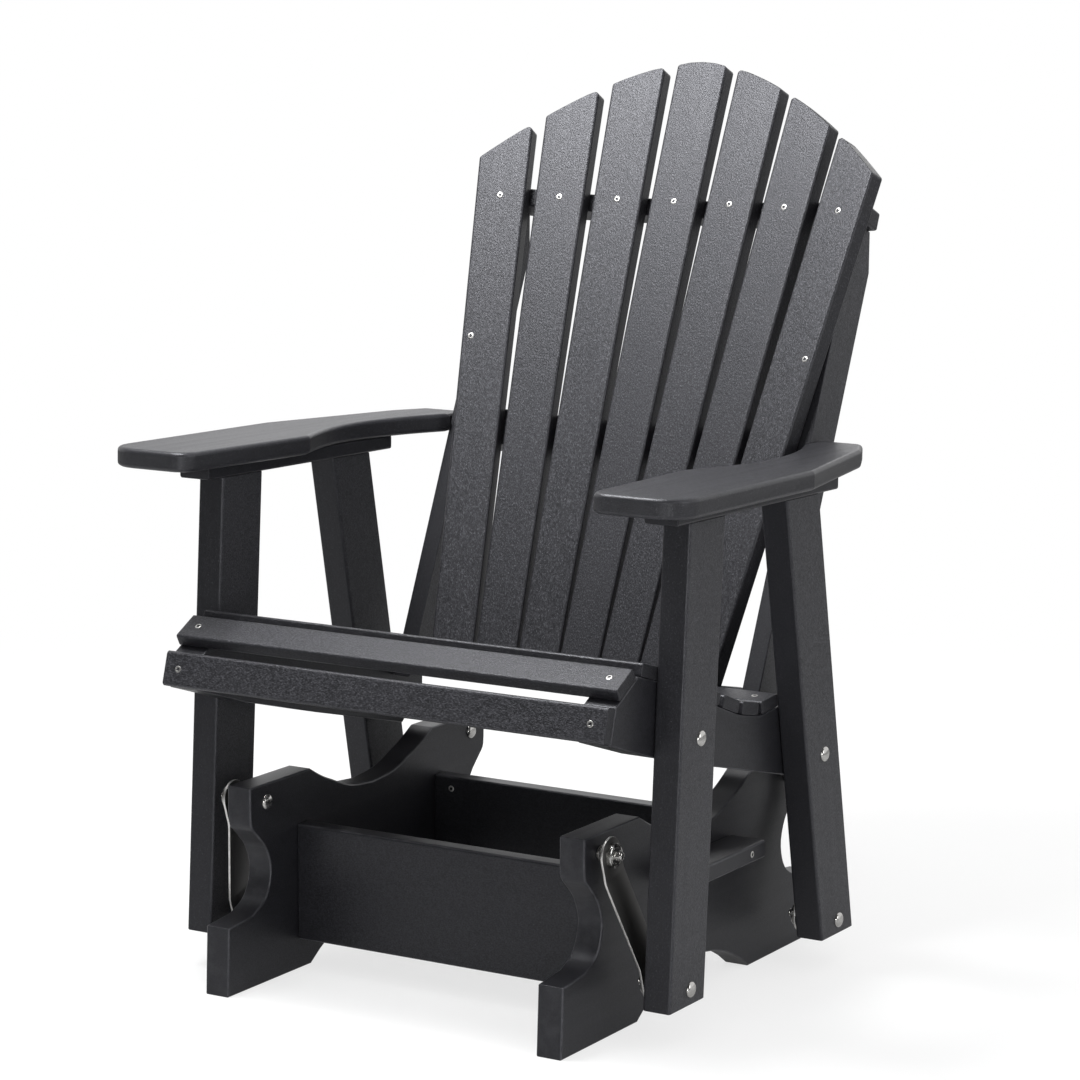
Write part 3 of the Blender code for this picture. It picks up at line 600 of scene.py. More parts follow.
def mark_rounding(board, axes):
    """Give the faces of the rounded edges and eased rims the second material slot."""
    depth, along, _ = axes
    for face in board.data.polygons:
        slope, pitch = abs(face.normal.dot(depth)), abs(face.normal.dot(along))
        rounded = ROUND_SLOPES[0] < slope < ROUND_SLOPES[1]
        if rounded or EASED_PITCHES[0] < pitch < EASED_PITCHES[1]:
            face.material_index = 1


def write_board_values(board, axes, number):
    """Store where each point lies on its board, and which parts are rounded, sawn or skin."""
    mesh = board.data
    depth, along, across = axes
    spots = []
    for vertex in mesh.vertices:
        spot = Vector((vertex.co.dot(across), vertex.co.dot(along), vertex.co.dot(depth)))
        spots.extend(spot + PATTERN_STEP * number)
    write_values(mesh, "board", "FLOAT_VECTOR", "POINT", spots)
    rounded = [1.0] * len(mesh.vertices)
    ends, skins = [0.0] * len(mesh.loops), [0.0] * len(mesh.loops)
    side, skin = SKIN_SLOPES
    for face in mesh.polygons:
        share = (abs(face.normal.dot(depth)) - side) / (skin - side)
        if face.material_index == 0:
            for index in face.vertices:
                rounded[index] = 0.0
        for index in face.loop_indices:
            skins[index] = min(max(share, 0), 1)
            if face.material_index == 0 and abs(face.normal.dot(along)) > SAWN_PITCH:
                ends[index] = 1.0
    write_values(mesh, "edge", "FLOAT", "POINT", rounded)
    write_values(mesh, "sawn", "FLOAT", "CORNER", ends)
    write_values(mesh, "skin", "FLOAT", "CORNER", skins)
    mesh.polygons.foreach_set("material_index", [0] * len(mesh.polygons))


def stand_for(piece, node):
    """Let a piece ride and stand for its node."""
    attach(piece, NODE_BODY[node])
    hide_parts(node)


def dress_board(node, radius, finish, strips=0, trim=0.0, corner=0):
    """Draw a board over its node, straight with this many strips or else shaped, and let it ride."""
    board, axes = draw_sharp_board(node, f"{node}_board")
    if strips:
        sharp = board
        sharp.name = "sharp"
        board = mill_board(sharp, axes, f"{node}_board", radius, strips, trim)
        discard(sharp)
    board.data.materials.append(finish)
    board.data.materials.append(finish)
    if strips:
        mark_rounding(board, axes)
    else:
        route_board(board, axes, radius)
    write_board_values(board, axes, sorted(NODES).index(node))
    board.data.materials.pop(index=1)
    soften(board)
    if corner:
        soften_by_angle(board, corner)
    stand_for(board, node)
    return board


# Turned and round pieces
def turned(name, profile, sides):
    """Turn a round piece about X by extruding a disc through (distance, radius) points."""
    start, radius = profile[0]
    piece = add_shape(
        "circle", vertices=sides, radius=radius, fill_type="NGON", location=(start, 0, 0),
        rotation=(0, math.pi / 2, 0),
    )
    start_edit(piece)
    bpy.ops.mesh.select_all(action="SELECT")
    for x, wanted in profile[1:]:
        bpy.ops.mesh.extrude_region_move(TRANSFORM_OT_translate={"value": (x - start, 0, 0)})
        share = wanted / radius
        bpy.ops.transform.resize(value=(1, share, share), center_override=(x, 0, 0))
        start, radius = x, wanted
    face_outward()
    end_edit()
    piece.name = piece.data.name = name
    return piece


def finish_turned(piece, finish, degrees=35):
    """Store distance along the axis, radius and turn for fine machining marks, and add the steel."""
    spots = []
    for vertex in piece.data.vertices:
        x, y, z = vertex.co
        spots += (x, math.hypot(y, z), math.atan2(z, y))
    write_values(piece.data, "turning", "FLOAT_VECTOR", "POINT", spots)
    piece.data.materials.append(finish)
    soften_by_angle(piece, degrees)
    return piece


def hexagon(name, start, thick, radius):
    """A six-sided nut with chamfered corners, about X."""
    nut = add_shape(
        "cylinder", vertices=6, radius=radius, depth=thick, location=(start + thick / 2, 0, 0),
        rotation=(0, math.pi / 2, 0),
    )
    apply_modifier(nut, "BEVEL", width=radius / 9, segments=2, limit_method="ANGLE")
    nut.name = nut.data.name = name
    return nut


def dome_profile(steps=7):
    """Points of a domed head from its crown, below zero, back to its flat underside."""
    sizes = glider().hardware
    points = []
    for i in range(steps + 1):
        turn = math.pi / 2 * (i + CROWN_START) / (steps + CROWN_START)
        place = -sizes.dome_height * math.cos(turn) ** DOME_FALL
        points.append((place, sizes.dome_radius * math.sin(turn) ** DOME_FULLNESS))
    return points


def thread_profile(start, end, radius):
    """A run of fine thread between two distances."""
    turns = max(int((end - start) / THREAD_PITCH), 1)
    root = radius * THREAD_ROOT
    points = []
    for i in range(turns):
        place = start + (end - start) * i / turns
        points += [(place, root)] + [(place + THREAD_PITCH * share, radius) for share in THREAD_CREST]
    return points + [(end, root), (end + THREAD_PITCH * THREAD_END, radius * THREAD_POINT)]


def serrated_flange(name, start, thick, radius):
    """A flange nut with teeth round its rim, about X."""
    profile = [(start + thick * along, radius * share) for along, share in FLANGE_PROFILE]
    disc = turned(name, profile, FLANGE_SIDES)

    def notched(vertex):
        turn = math.atan2(vertex.co.z, vertex.co.y) / math.tau * FLANGE_SIDES
        at_rim = vertex.co.x > start + thick * TOOTH_START and vertex.co.yz.length > radius * TOOTH_RADIUS
        return at_rim and round(turn) % TOOTH_SIDES == 0

    start_edit(disc)
    choose(disc, "VERT", notched)
    bpy.ops.transform.resize(value=(1, TOOTH_DEPTH, TOOTH_DEPTH), center_override=(start + thick, 0, 0))
    end_edit()
    return disc


# Materials
def feed(tree, socket, value):
    """Link another node's output to a socket, or set the socket's own value."""
    if isinstance(value, bpy.types.NodeSocket):
        tree.links.new(value, socket)
    else:
        socket.default_value = value


def add_node(tree, kind, inputs=None, **values):
    node = tree.nodes.new(kind)
    for name, value in values.items():
        setattr(node, name, value)
    for name, value in (inputs or {}).items():
        feed(tree, node.inputs[name], value)
    return node


def math_node(tree, operation, *values, clamp=False):
    node = add_node(tree, "ShaderNodeMath", dict(enumerate(values)), operation=operation, use_clamp=clamp)
    return node.outputs[0]


def times(tree, first, second):
    return math_node(tree, "MULTIPLY", first, second)


def remap(tree, value, low, high, to_low=0.0, to_high=1.0, smooth=True):
    node = add_node(
        tree, "ShaderNodeMapRange",
        {"Value": value, "From Min": low, "From Max": high, "To Min": to_low, "To Max": to_high},
        interpolation_type="SMOOTHSTEP" if smooth else "LINEAR",
    )
    return node.outputs["Result"]


def blend(tree, share, first, second):
    return add_node(tree, "ShaderNodeMix", {0: share, 6: first, 7: second}, data_type="RGBA").outputs[2]


def opaque(color, share=1.0):
    """A color as a socket takes it, darker or lighter by a share."""
    return (*(share * channel for channel in color), 1)


def noise(tree, vector, scale, detail, roughness, distortion=0.0):
    node = add_node(
        tree, "ShaderNodeTexNoise",
        {"Vector": vector, "Scale": scale, "Detail": detail, "Roughness": roughness,
         "Distortion": distortion},
    )
    return node.outputs[0]


def relief(tree, height, strength, distance):
    node = add_node(tree, "ShaderNodeBump", {"Strength": strength, "Distance": distance, "Height": height})
    return node.outputs[0]


def stretched(tree, vector, size, stretch):
    """Divide a place by a feature size, and by a stretch as well along the board."""
    across = math_node(tree, "DIVIDE", 1.0, size)
    along = math_node(tree, "DIVIDE", across, stretch)
    scale = add_node(tree, "ShaderNodeCombineXYZ", {0: across, 1: along, 2: across}).outputs[0]
    return add_node(tree, "ShaderNodeVectorMath", {0: vector, 1: scale}, operation="MULTIPLY").outputs[0]


def shared_group(name, inputs, outputs, fill):
    """The node group of this name: a vector and floats go in, and what fill works out comes out."""
    if name in bpy.data.node_groups:
        return bpy.data.node_groups[name]
    group = bpy.data.node_groups.new(name, "ShaderNodeTree")
    group.interface.new_socket("Vector", in_out="INPUT", socket_type="NodeSocketVector")
    for socket_name, default in inputs.items():
        socket = group.interface.new_socket(socket_name, in_out="INPUT", socket_type="NodeSocketFloat")
        socket.default_value = default
    for socket_name in outputs:
        group.interface.new_socket(socket_name, in_out="OUTPUT", socket_type="NodeSocketFloat")
    given, made = group.nodes.new("NodeGroupInput"), group.nodes.new("NodeGroupOutput")
    for socket_name, value in zip(outputs, fill(group, given.outputs)):
        group.links.new(value, made.inputs[socket_name])
    return group


def fill_flecks(group, given):
    place = stretched(group, given["Vector"], given["Size"], given["Stretch"])
    fine = noise(group, place, scale=1.0, detail=3.0, roughness=0.65)
    coarse = noise(group, place, scale=0.37, detail=2.0, roughness=0.6)
    start = remap(group, given["Density"], 0.0, 1.0, *FLECK_STARTS, smooth=False)
    above = math_node(group, "SUBTRACT", fine, start)
    fleck_and_glint = math_node(group, "MULTIPLY", above, FLECK_GAIN, clamp=True)
    return fleck_and_glint, math_node(group, "ADD", times(group, fine, 0.8), times(group, coarse, 0.2))


def flecks_group():
    """Fine embossed skin with pale flecks, partly painted glints, a little drawn out along the board."""
    inputs = {"Size": 0.001, "Stretch": 2.0, "Density": 0.5}
    return shared_group("embossed_flecks", inputs, ("Fleck", "Height"), fill_flecks)


def fill_streaks(group, given):
    place = stretched(group, given["Vector"], given["Size"], given["Stretch"])
    streak = noise(group, place, scale=1.0, detail=3.0, roughness=0.6)
    return streak, noise(group, place, scale=0.12, detail=2.0, roughness=0.5, distortion=0.4)


def streaks_group():
    """Long fine lines along the board, as drawn or brushed stock has."""
    inputs = {"Size": 0.001, "Stretch": 30.0}
    return shared_group("drawn_streaks", inputs, ("Streak", "Cloud"), fill_streaks)


def fill_wear_and_highlight(group, given):
    place = stretched(group, given["Vector"], given["Size"], 3.0)
    patches = noise(group, place, scale=1.0, detail=4.0, roughness=0.7)
    broken = remap(group, patches, *WEAR_AND_HIGHLIGHT_SPAN, LEAST_WEAR_AND_HIGHLIGHT, 1.0)
    return (times(group, times(group, given["Edge"], broken), given["Amount"]),)


def wear_and_highlight_group():
    """Rubbed patches, which also stand as a painted highlight, where the rounded edges are, broken up along
    their length.
    """
    inputs = {"Edge": 0.0, "Size": 0.01, "Amount": 0.5}
    return shared_group("rubbed_edges", inputs, ("Mask",), fill_wear_and_highlight)


def use_group(tree, group, **inputs):
    return add_node(tree, "ShaderNodeGroup", inputs, node_tree=group).outputs


def blank_tree(owner):
    """The emptied node tree of a material or world."""
    owner.use_nodes = True
    owner.node_tree.nodes.clear()
    return owner.node_tree


def fresh_material(name):
    """A material with only a Principled shader on its output."""
    made = bpy.data.materials.new(name)
    tree = blank_tree(made)
    shader = tree.nodes.new("ShaderNodeBsdfPrincipled")
    output = tree.nodes.new("ShaderNodeOutputMaterial")
    tree.links.new(shader.outputs[0], output.inputs["Surface"])
    return made, tree, shader.inputs


def read_attribute(tree, name, output="Fac"):
    return add_node(tree, "ShaderNodeAttribute", attribute_name=name).outputs[output]


def board_marks(tree, fleck_size, stretch, density, scuff_and_highlight):
    """What a board's finish is made of: the values stored on its mesh and the patterns they place."""
    place = read_attribute(tree, "board", "Vector")
    edge, sawn, broad = (read_attribute(tree, name) for name in ("edge", "sawn", "skin"))
    flecks = use_group(tree, flecks_group(), Vector=place, Size=fleck_size, Stretch=stretch, Density=density)
    streaks = use_group(tree, streaks_group(), Vector=place, Size=0.0016, Stretch=26.0)
    # Rubbed edges, which also stand as a painted highlight
    wear_and_highlight = use_group(tree, wear_and_highlight_group(), Vector=place, Edge=edge, Size=0.012, Amount=scuff_and_highlight)
    smears = use_group(tree, streaks_group(), Vector=place, Size=0.014, Stretch=3.0)
    return {
        "edge": edge, "sawn": sawn, "broad": broad, "wear_and_highlight": wear_and_highlight["Mask"], "smear": smears["Streak"],
        "fleck_and_glint": flecks["Fleck"], "height": flecks["Height"],
        "streak": streaks["Streak"], "cloud": streaks["Cloud"],
    }


def speckled(tree, color, contrast, marks, fleck_and_glint_share):
    """A color from a dark to a light share of itself, with pale flecks over it that are partly painted
    glints.
    """
    dark, light = contrast
    tone = remap(tree, marks["height"], *GRAIN_SPAN)
    grained = blend(tree, tone, opaque(color, dark), opaque(color, light))
    # Pale flecks: partly the skin's own specks, partly painted glints
    return blend(tree, times(tree, marks["fleck_and_glint"], fleck_and_glint_share), grained, opaque(glider().finishes.fleck_and_glint))


def board_color(tree, marks, skin, wall, fleck_and_glint_share, streak_share, scraped, rim):
    """Speckled skin and sides, their flecks partly painted glints, with drawn lines, rubbed edges that also
    carry a painted highlight, and scraped ends.
    """
    colors = glider().finishes
    skin_now = speckled(tree, skin, SKIN_CONTRAST, marks, fleck_and_glint_share)
    wall_now = speckled(tree, wall, WALL_CONTRAST, marks, fleck_and_glint_share * WALL_FLECKS)
    lines = times(tree, remap(tree, marks["streak"], *LINE_SPAN), streak_share)
    scrapes = times(tree, times(tree, remap(tree, marks["smear"], *SCRAPE_SPAN), marks["sawn"]), scraped)
    color_now = blend(tree, marks["broad"], wall_now, skin_now)
    # Drawn lines, rubbed edges that also carry a painted highlight (a painted highlight colour on the
    # panels), and scraped ends
    for share, color in ((lines, colors.edge), (marks["wear_and_highlight"], rim or colors.edge), (scrapes, colors.scrape)):
        color_now = blend(tree, share, color_now, opaque(color))
    return color_now


def board_roughness(tree, marks, roughness):
    """A little cloudy, smoother on rounded edges and rougher on sawn ends."""
    low, high = roughness - SMOOTHER_CLOUD, roughness + ROUGHER_CLOUD
    cloudy = remap(tree, marks["cloud"], *CLOUD_SPAN, low, high)
    smoother = math_node(tree, "SUBTRACT", cloudy, times(tree, marks["edge"], SMOOTHER_EDGE))
    return math_node(tree, "ADD", smoother, times(tree, marks["sawn"], ROUGHER_SAWN))


def board_relief(tree, marks, streak_share, bump):
    """The embossed skin, weaker on the milled sides, and the drawn lines."""
    share = remap(tree, marks["broad"], 0.0, 1.0, WALL_RELIEF, 1.0, smooth=False)
    lines = times(tree, marks["streak"], streak_share)
    height = math_node(tree, "ADD", times(tree, marks["height"], share), lines)
    return relief(tree, height, bump, SKIN_DEPTH)


def lumber(name, skin, wall, fleck_size, density, fleck_and_glint_share, streak_share, roughness=0.45, bump=0.9,
           stretch=1.7, scuff_and_highlight=0.35, scraped=0.06, rim=None):
    """Dyed poly lumber: an embossed skin with pale flecks that are partly painted glints, darker milled
    sides, rubbed edges that also carry a painted highlight, and scraped ends.
    """
    if name in bpy.data.materials:
        return bpy.data.materials[name]
    made, tree, inputs = fresh_material(name)
    marks = board_marks(tree, fleck_size, stretch, density, scuff_and_highlight)
    color_now = board_color(tree, marks, skin, wall, fleck_and_glint_share, streak_share, scraped, rim)
    feed(tree, inputs["Base Color"], color_now)
    feed(tree, inputs["Roughness"], board_roughness(tree, marks, roughness))
    feed(tree, inputs["Specular Tint"], GLOSS_TINT)
    feed(tree, inputs["Normal"], board_relief(tree, marks, streak_share, bump))
    return made


def steel(name, tint, roughness, place_name="turning", marks=0.05, recess=0.0, flat_shade=1.0, spread=0.28):
    """Stainless steel with fine marks along its piece and faint stains; where asked, a painted shade in a
    driver recess, and a painted dark reflection on flat faces beside bright rims.
    """
    if name in bpy.data.materials:
        return bpy.data.materials[name]
    made, tree, inputs = fresh_material(name)
    place = read_attribute(tree, place_name, "Vector")
    streak = use_group(tree, streaks_group(), Vector=place, Size=0.0004, Stretch=40.0)["Streak"]
    stain = use_group(tree, streaks_group(), Vector=place, Size=0.006, Stretch=1.5)["Streak"]
    color_now = blend(tree, remap(tree, stain, *STAIN_SPAN), opaque(tint, STAIN_SHADE), opaque(tint))
    # Painted shade inside the driver recess, fading out just past its edge
    if recess:
        reach = add_node(tree, "ShaderNodeSeparateXYZ", {0: place}).outputs["Y"]
        recess_shade = remap(tree, reach, *(recess * share for share in RECESS_SHADE_REACH), 1.0, 0.0)
        color_now = blend(tree, recess_shade, color_now, opaque(RECESS_SHADE_COLOR))
    # Flat faces painted dark, standing in for the dark surroundings that they reflect; the rims keep the
    # steel's colour
    if flat_shade < 1.0:
        color_now = blend(tree, read_attribute(tree, "edge"), opaque(tint, flat_shade), color_now)
    rough = remap(tree, streak, *MARK_SPAN, roughness * (1 - spread), roughness * (1 + spread))
    feed(tree, inputs["Base Color"], color_now)
    feed(tree, inputs["Metallic"], 1.0)
    feed(tree, inputs["Roughness"], rough)
    feed(tree, inputs["Normal"], relief(tree, streak, marks, MARK_DEPTH))
    return made


def embossed_lumber():
    colors = glider().finishes
    return lumber(
        "embossed_lumber", colors.skin, colors.milled, fleck_size=0.0015, density=0.62, fleck_and_glint_share=0.55,
        streak_share=0.03, roughness=0.40,
    )


def grained_lumber():
    colors = glider().finishes
    return lumber(
        "grained_lumber", colors.skin, colors.milled, fleck_size=0.0013, density=0.72, fleck_and_glint_share=0.28,
        streak_share=0.15, roughness=0.41, bump=1.3, stretch=2.4,
    )


def drawn_lumber():
    colors = glider().finishes
    return lumber(
        "drawn_lumber", colors.drawn, colors.milled, fleck_size=0.0013, density=0.45, fleck_and_glint_share=0.55,
        streak_share=0.06, bump=0.8,
    )


def routed_lumber():
    colors = glider().finishes
    return lumber(
        "routed_lumber", colors.milled, colors.milled, fleck_size=0.0014, density=0.30, fleck_and_glint_share=0.30,
        # The panels' rims get a painted highlight colour, broken up along them
        streak_share=0.05, roughness=0.38, bump=0.35, scuff_and_highlight=0.9, scraped=0.09, rim=colors.rim,
    )


def armrest_lumber():
    colors = glider().finishes
    return lumber(
        "armrest_lumber", colors.skin, colors.arm_side, fleck_size=0.0013, density=0.45, fleck_and_glint_share=0.80,
        streak_share=0.08, roughness=0.42, stretch=3.0,
    )


def bolt_steel():
    return steel("bolt_steel_turned", glider().finishes.steel, 0.21)


def ring_steel():
    return steel("ring_steel_turned", glider().finishes.ring, 0.19)


def strap_steel():
    # The straps' flat faces get a painted dark reflection, and their rims stay bright
    return steel(
        "strap_steel_rolled", glider().finishes.strap, 0.42, "board", marks=0.01, flat_shade=0.17, spread=0.06
    )


def screw_steel():
    # The screw heads get a painted shade inside their driver recess
    return steel("screw_steel_turned", glider().finishes.steel, 0.38, recess=glider().screws.recess_radius)


# Operators
class GLIDER_OT_base_panels(Operator):
    """Draw the two side panels of the base with their routed scoops"""
    bl_idname = "glider.base_panels"
    bl_label = "Base panels"

    def execute(self, context):
        for side, _ in SIDES:
            dress_board(f"base_panel_{side}", glider().boards.panel_round, routed_lumber())
        return {"FINISHED"}


class GLIDER_OT_base_boards(Operator):
    """Draw the stretchers and side cleats of the base"""
    bl_idname = "glider.base_boards"
    bl_label = "Stretchers and cleats"

    def execute(self, context):
        sizes = glider().boards
        for end in ENDS:
            dress_board(f"base_stretcher_{end}", sizes.board_round, routed_lumber(), strips=1)
        for side, _ in SIDES:
            dress_board(f"side_cleat_{side}", sizes.slat_round, routed_lumber(), strips=1)
        return {"FINISHED"}


class GLIDER_OT_legs(Operator):
    """Draw the four legs"""
    bl_idname = "glider.legs"
    bl_label = "Legs"

    def execute(self, context):
        for corner, _ in CORNERS:
            dress_board(f"leg_{corner}", glider().boards.board_round, drawn_lumber(), strips=1)
        return {"FINISHED"}


class GLIDER_OT_seat(Operator):
    """Draw the seat rails and the nine seat slats, the first of which is the apron"""
    bl_idname = "glider.seat"
    bl_label = "Seat"

    def execute(self, context):
        sizes = glider().boards
        for side, _ in SIDES:
            dress_board(f"seat_rail_{side}", sizes.rail_round, routed_lumber())
        for number in SEAT_SLATS:
            radius = sizes.apron_round if number == 1 else sizes.slat_round
            dress_board(f"seat_slat_{number}", radius, grained_lumber(), strips=1)
        return {"FINISHED"}


class GLIDER_OT_back(Operator):
    """Draw the seven back slats, the cross rails behind them and the two uprights"""
    bl_idname = "glider.back"
    bl_label = "Back"

    def execute(self, context):
        sizes = glider().boards
        for number in BACK_SLATS:
            node = f"back_slat_{number}"
            dress_board(node, sizes.slat_round, embossed_lumber(), strips=12, trim=sizes.crown_trim)
        for level in ("upper", "middle", "lower"):
            dress_board(f"back_rail_{level}", sizes.slat_round, embossed_lumber())
        for side, _ in SIDES:
            dress_board(f"back_upright_{side}", sizes.rail_round, drawn_lumber())
        return {"FINISHED"}


class GLIDER_OT_arms(Operator):
    """Draw the two arms and the supports under them"""
    bl_idname = "glider.arms"
    bl_label = "Arms"

    def execute(self, context):
        sizes = glider().boards
        for side, _ in SIDES:
            dress_board(f"arm_support_{side}", sizes.slat_round, drawn_lumber(), strips=1)
            board = dress_board(f"arm_{side}", sizes.arm_round, armrest_lumber(), corner=20)
            low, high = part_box(f"arm_{side}")
            crease_at(board, low.y + sizes.arm_corner * (high.y - low.y))
        return {"FINISHED"}


def bolt_master(wall_thick, lock_start):
    """One pivot bolt about X, from its domed head at zero to its threaded end."""
    sizes = glider().hardware
    fit, shank = sizes.fit, sizes.shank
    lock_end = lock_start + sizes.nut_thick
    profile = [(x - fit, radius) for x, radius in dome_profile()] + [(-fit, shank), (lock_end, shank)]
    profile += thread_profile(lock_end, lock_end + sizes.tail - THREAD_PITCH / 2, shank)
    rod = turned("rod", profile, 32)
    flange = serrated_flange("flange", wall_thick + fit, sizes.flange_thick, sizes.flange_radius)
    nut = hexagon("nut", lock_start, sizes.nut_thick, sizes.nut_radius)
    return finish_turned(join("pivot_bolt", [rod, flange, nut]), bolt_steel())


def middle_of(node):
    low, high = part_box(node)
    return (low + high) / 2


def set_turned(master, node, start, turned_round):
    """Set a copy of a turned piece on its node's axis with its zero at start, turned round or not."""
    middle = middle_of(node)
    turn = Matrix.Rotation(math.pi if turned_round else 0, 4, "Z")
    piece = placed_copy(master, f"{node}_turned", Matrix.Translation((start, middle.y, middle.z)) @ turn)
    stand_for(piece, node)


class GLIDER_OT_pivot_bolts(Operator):
    """Turn the eight pivot bolts with their heads, flange nuts and lock nuts"""
    bl_idname = "glider.pivot_bolts"
    bl_label = "Pivot bolts"

    def execute(self, context):
        sizes = glider().hardware
        panel_low, panel_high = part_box("base_panel_right")
        leg_low, leg_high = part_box("leg_front_right")
        kinds = (
            ("base_bolt", panel_high.x - panel_low.x, panel_low.x, 1),
            ("leg_bolt", leg_high.x - leg_low.x, leg_high.x, -1),
        )
        for kind, wall_thick, start, way in kinds:
            low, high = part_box(f"{kind}_front_right")
            reach = high.x - low.x - sizes.dome_height - sizes.fit
            master = bolt_master(wall_thick, reach - sizes.tail - sizes.nut_thick)
            for corner, sign in CORNERS:
                set_turned(master, f"{kind}_{corner}", sign * start, sign * way < 0)
            discard(master)
        return {"FINISHED"}


class GLIDER_OT_bearings(Operator):
    """Turn the eight bearing rings with their grooves"""
    bl_idname = "glider.bearings"
    bl_label = "Bearing rings"

    def execute(self, context):
        low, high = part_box("bearing_upper_front_right")
        thick, radius = high.x - low.x, (high.z - low.z) / 2
        profile = [(along * thick, share * radius) for along, share in RING_PROFILE]
        master = finish_turned(turned("ring", profile, 48), ring_steel(), 30)
        for side, sign in SIDES:
            for level, way in (("upper", 1), ("lower", -1)):
                for end in ENDS:
                    node = f"bearing_{level}_{end}_{side}"
                    start = middle_of(node).x - sign * way * thick / 2
                    set_turned(master, node, start, sign * way < 0)
        discard(master)
        return {"FINISHED"}


def strap_blank(reach, half_width, cuts):
    """In edit mode, a flat strip along X with round ends, cut across at these places."""
    strap = add_shape("circle", vertices=48, radius=half_width, fill_type="NGON")
    start_edit(strap)
    choose(strap, "VERT", lambda v: v.co.x > MERGE)
    bpy.ops.transform.translate(value=(reach, 0, 0))
    for cut in cuts:
        bpy.ops.mesh.select_all(action="SELECT")
        bpy.ops.mesh.bisect(plane_co=(cut, 0, 0), plane_no=(1, 0, 0))
    return strap


def strap_rise(along, bends, spread, slope):
    """How far the strap stands out at a distance along it, eased over the length of each bend."""
    total = 0.0
    for bend, way in zip(bends, (1, -1)):
        part = min(max((along - bend) / spread + 0.5, 0), 1)
        total += way * (spread * part ** 2 / 2 if part < 1 else along - bend)
    return slope * total


def bent_strap(reach, half_width, rise):
    """A flat strap along X that rises by this much between its bends, and its inner face's level."""
    sizes = glider().hardware
    bends, spread = (sizes.strap_bend, reach - sizes.strap_bend), sizes.strap_bend_reach
    cuts = [bend + spread * share for bend in bends for share in (-0.5, -0.25, 0, 0.25, 0.5)]
    strap = strap_blank(reach, half_width, cuts)
    body = bmesh.from_edit_mesh(strap.data)
    slope = rise / (bends[1] - bends[0])
    for vertex in body.verts:
        vertex.co.z = strap_rise(vertex.co.x, bends, spread, slope)
    bmesh.update_edit_mesh(strap.data)
    face_outward()
    end_edit()
    apply_modifier(strap, "SOLIDIFY", thickness=sizes.strap_thick, offset=1)
    start_edit(strap)
    face_outward()
    end_edit()
    lowest = min(vertex.co.z for vertex in strap.data.vertices)
    apply_modifier(
        strap, "BEVEL", width=sizes.strap_edge, segments=2, limit_method="ANGLE", angle_limit=math.radians(50)
    )
    return strap, lowest


def finish_strap(strap):
    """Store each point's place for the rolling marks, and where the rims are, which keep the bright steel
    while the flat faces get a painted dark reflection.
    """
    spots = [share for vertex in strap.data.vertices for share in vertex.co.yxz]
    rims = [float(abs(face.normal.z) < RIM_SLOPE) for face in strap.data.polygons for _ in face.vertices]
    write_values(strap.data, "board", "FLOAT_VECTOR", "POINT", spots)
    write_values(strap.data, "edge", "FLOAT", "CORNER", rims)
    strap.data.materials.append(strap_steel())


class GLIDER_OT_straps(Operator):
    """Bend the four flat straps that the seat hangs from, outwards from their upper ends"""
    bl_idname = "glider.straps"
    bl_label = "Glide straps"

    def execute(self, context):
        for corner, sign in CORNERS:
            node = f"glide_strap_{corner}"
            box_low, box_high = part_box(node)
            high, low = middle_of(f"base_bolt_{corner}"), middle_of(f"leg_bolt_{corner}")
            run = Vector((0, low.y - high.y, low.z - high.z))
            half_width = (box_high.y - box_low.y - abs(run.y)) / 2
            inner, outer = sorted((abs(box_low.x), abs(box_high.x)))
            rise = outer - glider().hardware.strap_thick - inner
            strap, lowest = bent_strap(run.length, half_width, rise)
            finish_strap(strap)
            along, out = run.normalized(), sign * X_AXIS
            columns = Matrix((along, Vector((0, -along.z, along.y)), out)).transposed().to_4x4()
            start = Vector((sign * inner, high.y, high.z)) - out * lowest
            piece = placed_copy(strap, f"{node}_rolled", Matrix.Translation(start) @ columns)
            discard(strap)
            soften_by_angle(piece, 40)
            stand_for(piece, node)
        return {"FINISHED"}


def hit(board_node, start, direction):
    """Where a line from a start meets a drawn board, and the face's direction there."""
    board = bpy.data.objects[f"{board_node}_board"]
    found, place, normal, _ = board.ray_cast(start, direction)
    if not found:
        raise RuntimeError(f"nothing of {board_node} lies there")
    return place, normal


def set_into(master, board_node, start, direction):
    """A copy of a fastener about X, set square into the board that a line meets."""
    place, normal = hit(board_node, start, direction)
    turn = normal.to_track_quat("X", "Z").to_matrix().to_4x4()
    return placed_copy(master, "fastener", Matrix.Translation(place) @ turn)


def screw_master():
    """One wood screw head about X: a low dome with a round driver recess, its top toward +X."""
    sizes = glider().screws
    radius, top = sizes.head_radius, sizes.head_height
    recess = sizes.recess_radius
    profile = [
        (-sizes.sink, radius * 0.86), (0.0, radius), (top * 0.45, radius), (top * 0.85, radius * 0.90),
        (top, radius * 0.72), (top, recess * 1.12), (top - RECESS_EASE, recess),
        (top - sizes.recess_depth, recess * 0.82),
    ]
    return finish_turned(turned("screw", profile, 24), screw_steel(), 32)


def drive_back_screws(master):
    """Two rows into the upper and the lower rail, and one screw into each upright."""
    sizes = glider().screws
    rows = ((sizes.back_height, sizes.back_pitch), (sizes.low_height, sizes.low_pitch))
    spots = [
        (number, (number - MIDDLE_SLAT) * pitch, height) for number in BACK_SLATS for height, pitch in rows
    ]
    for number, sign in ((BACK_SLATS[0], -1), (BACK_SLATS[-1], 1)):
        spots.append((number, sign * sizes.mid_reach, sizes.mid_height))
    return [
        set_into(master, f"back_slat_{number}", Vector((x, -FAR_OFF, height)), Y_AXIS)
        for number, x, height in spots
    ]


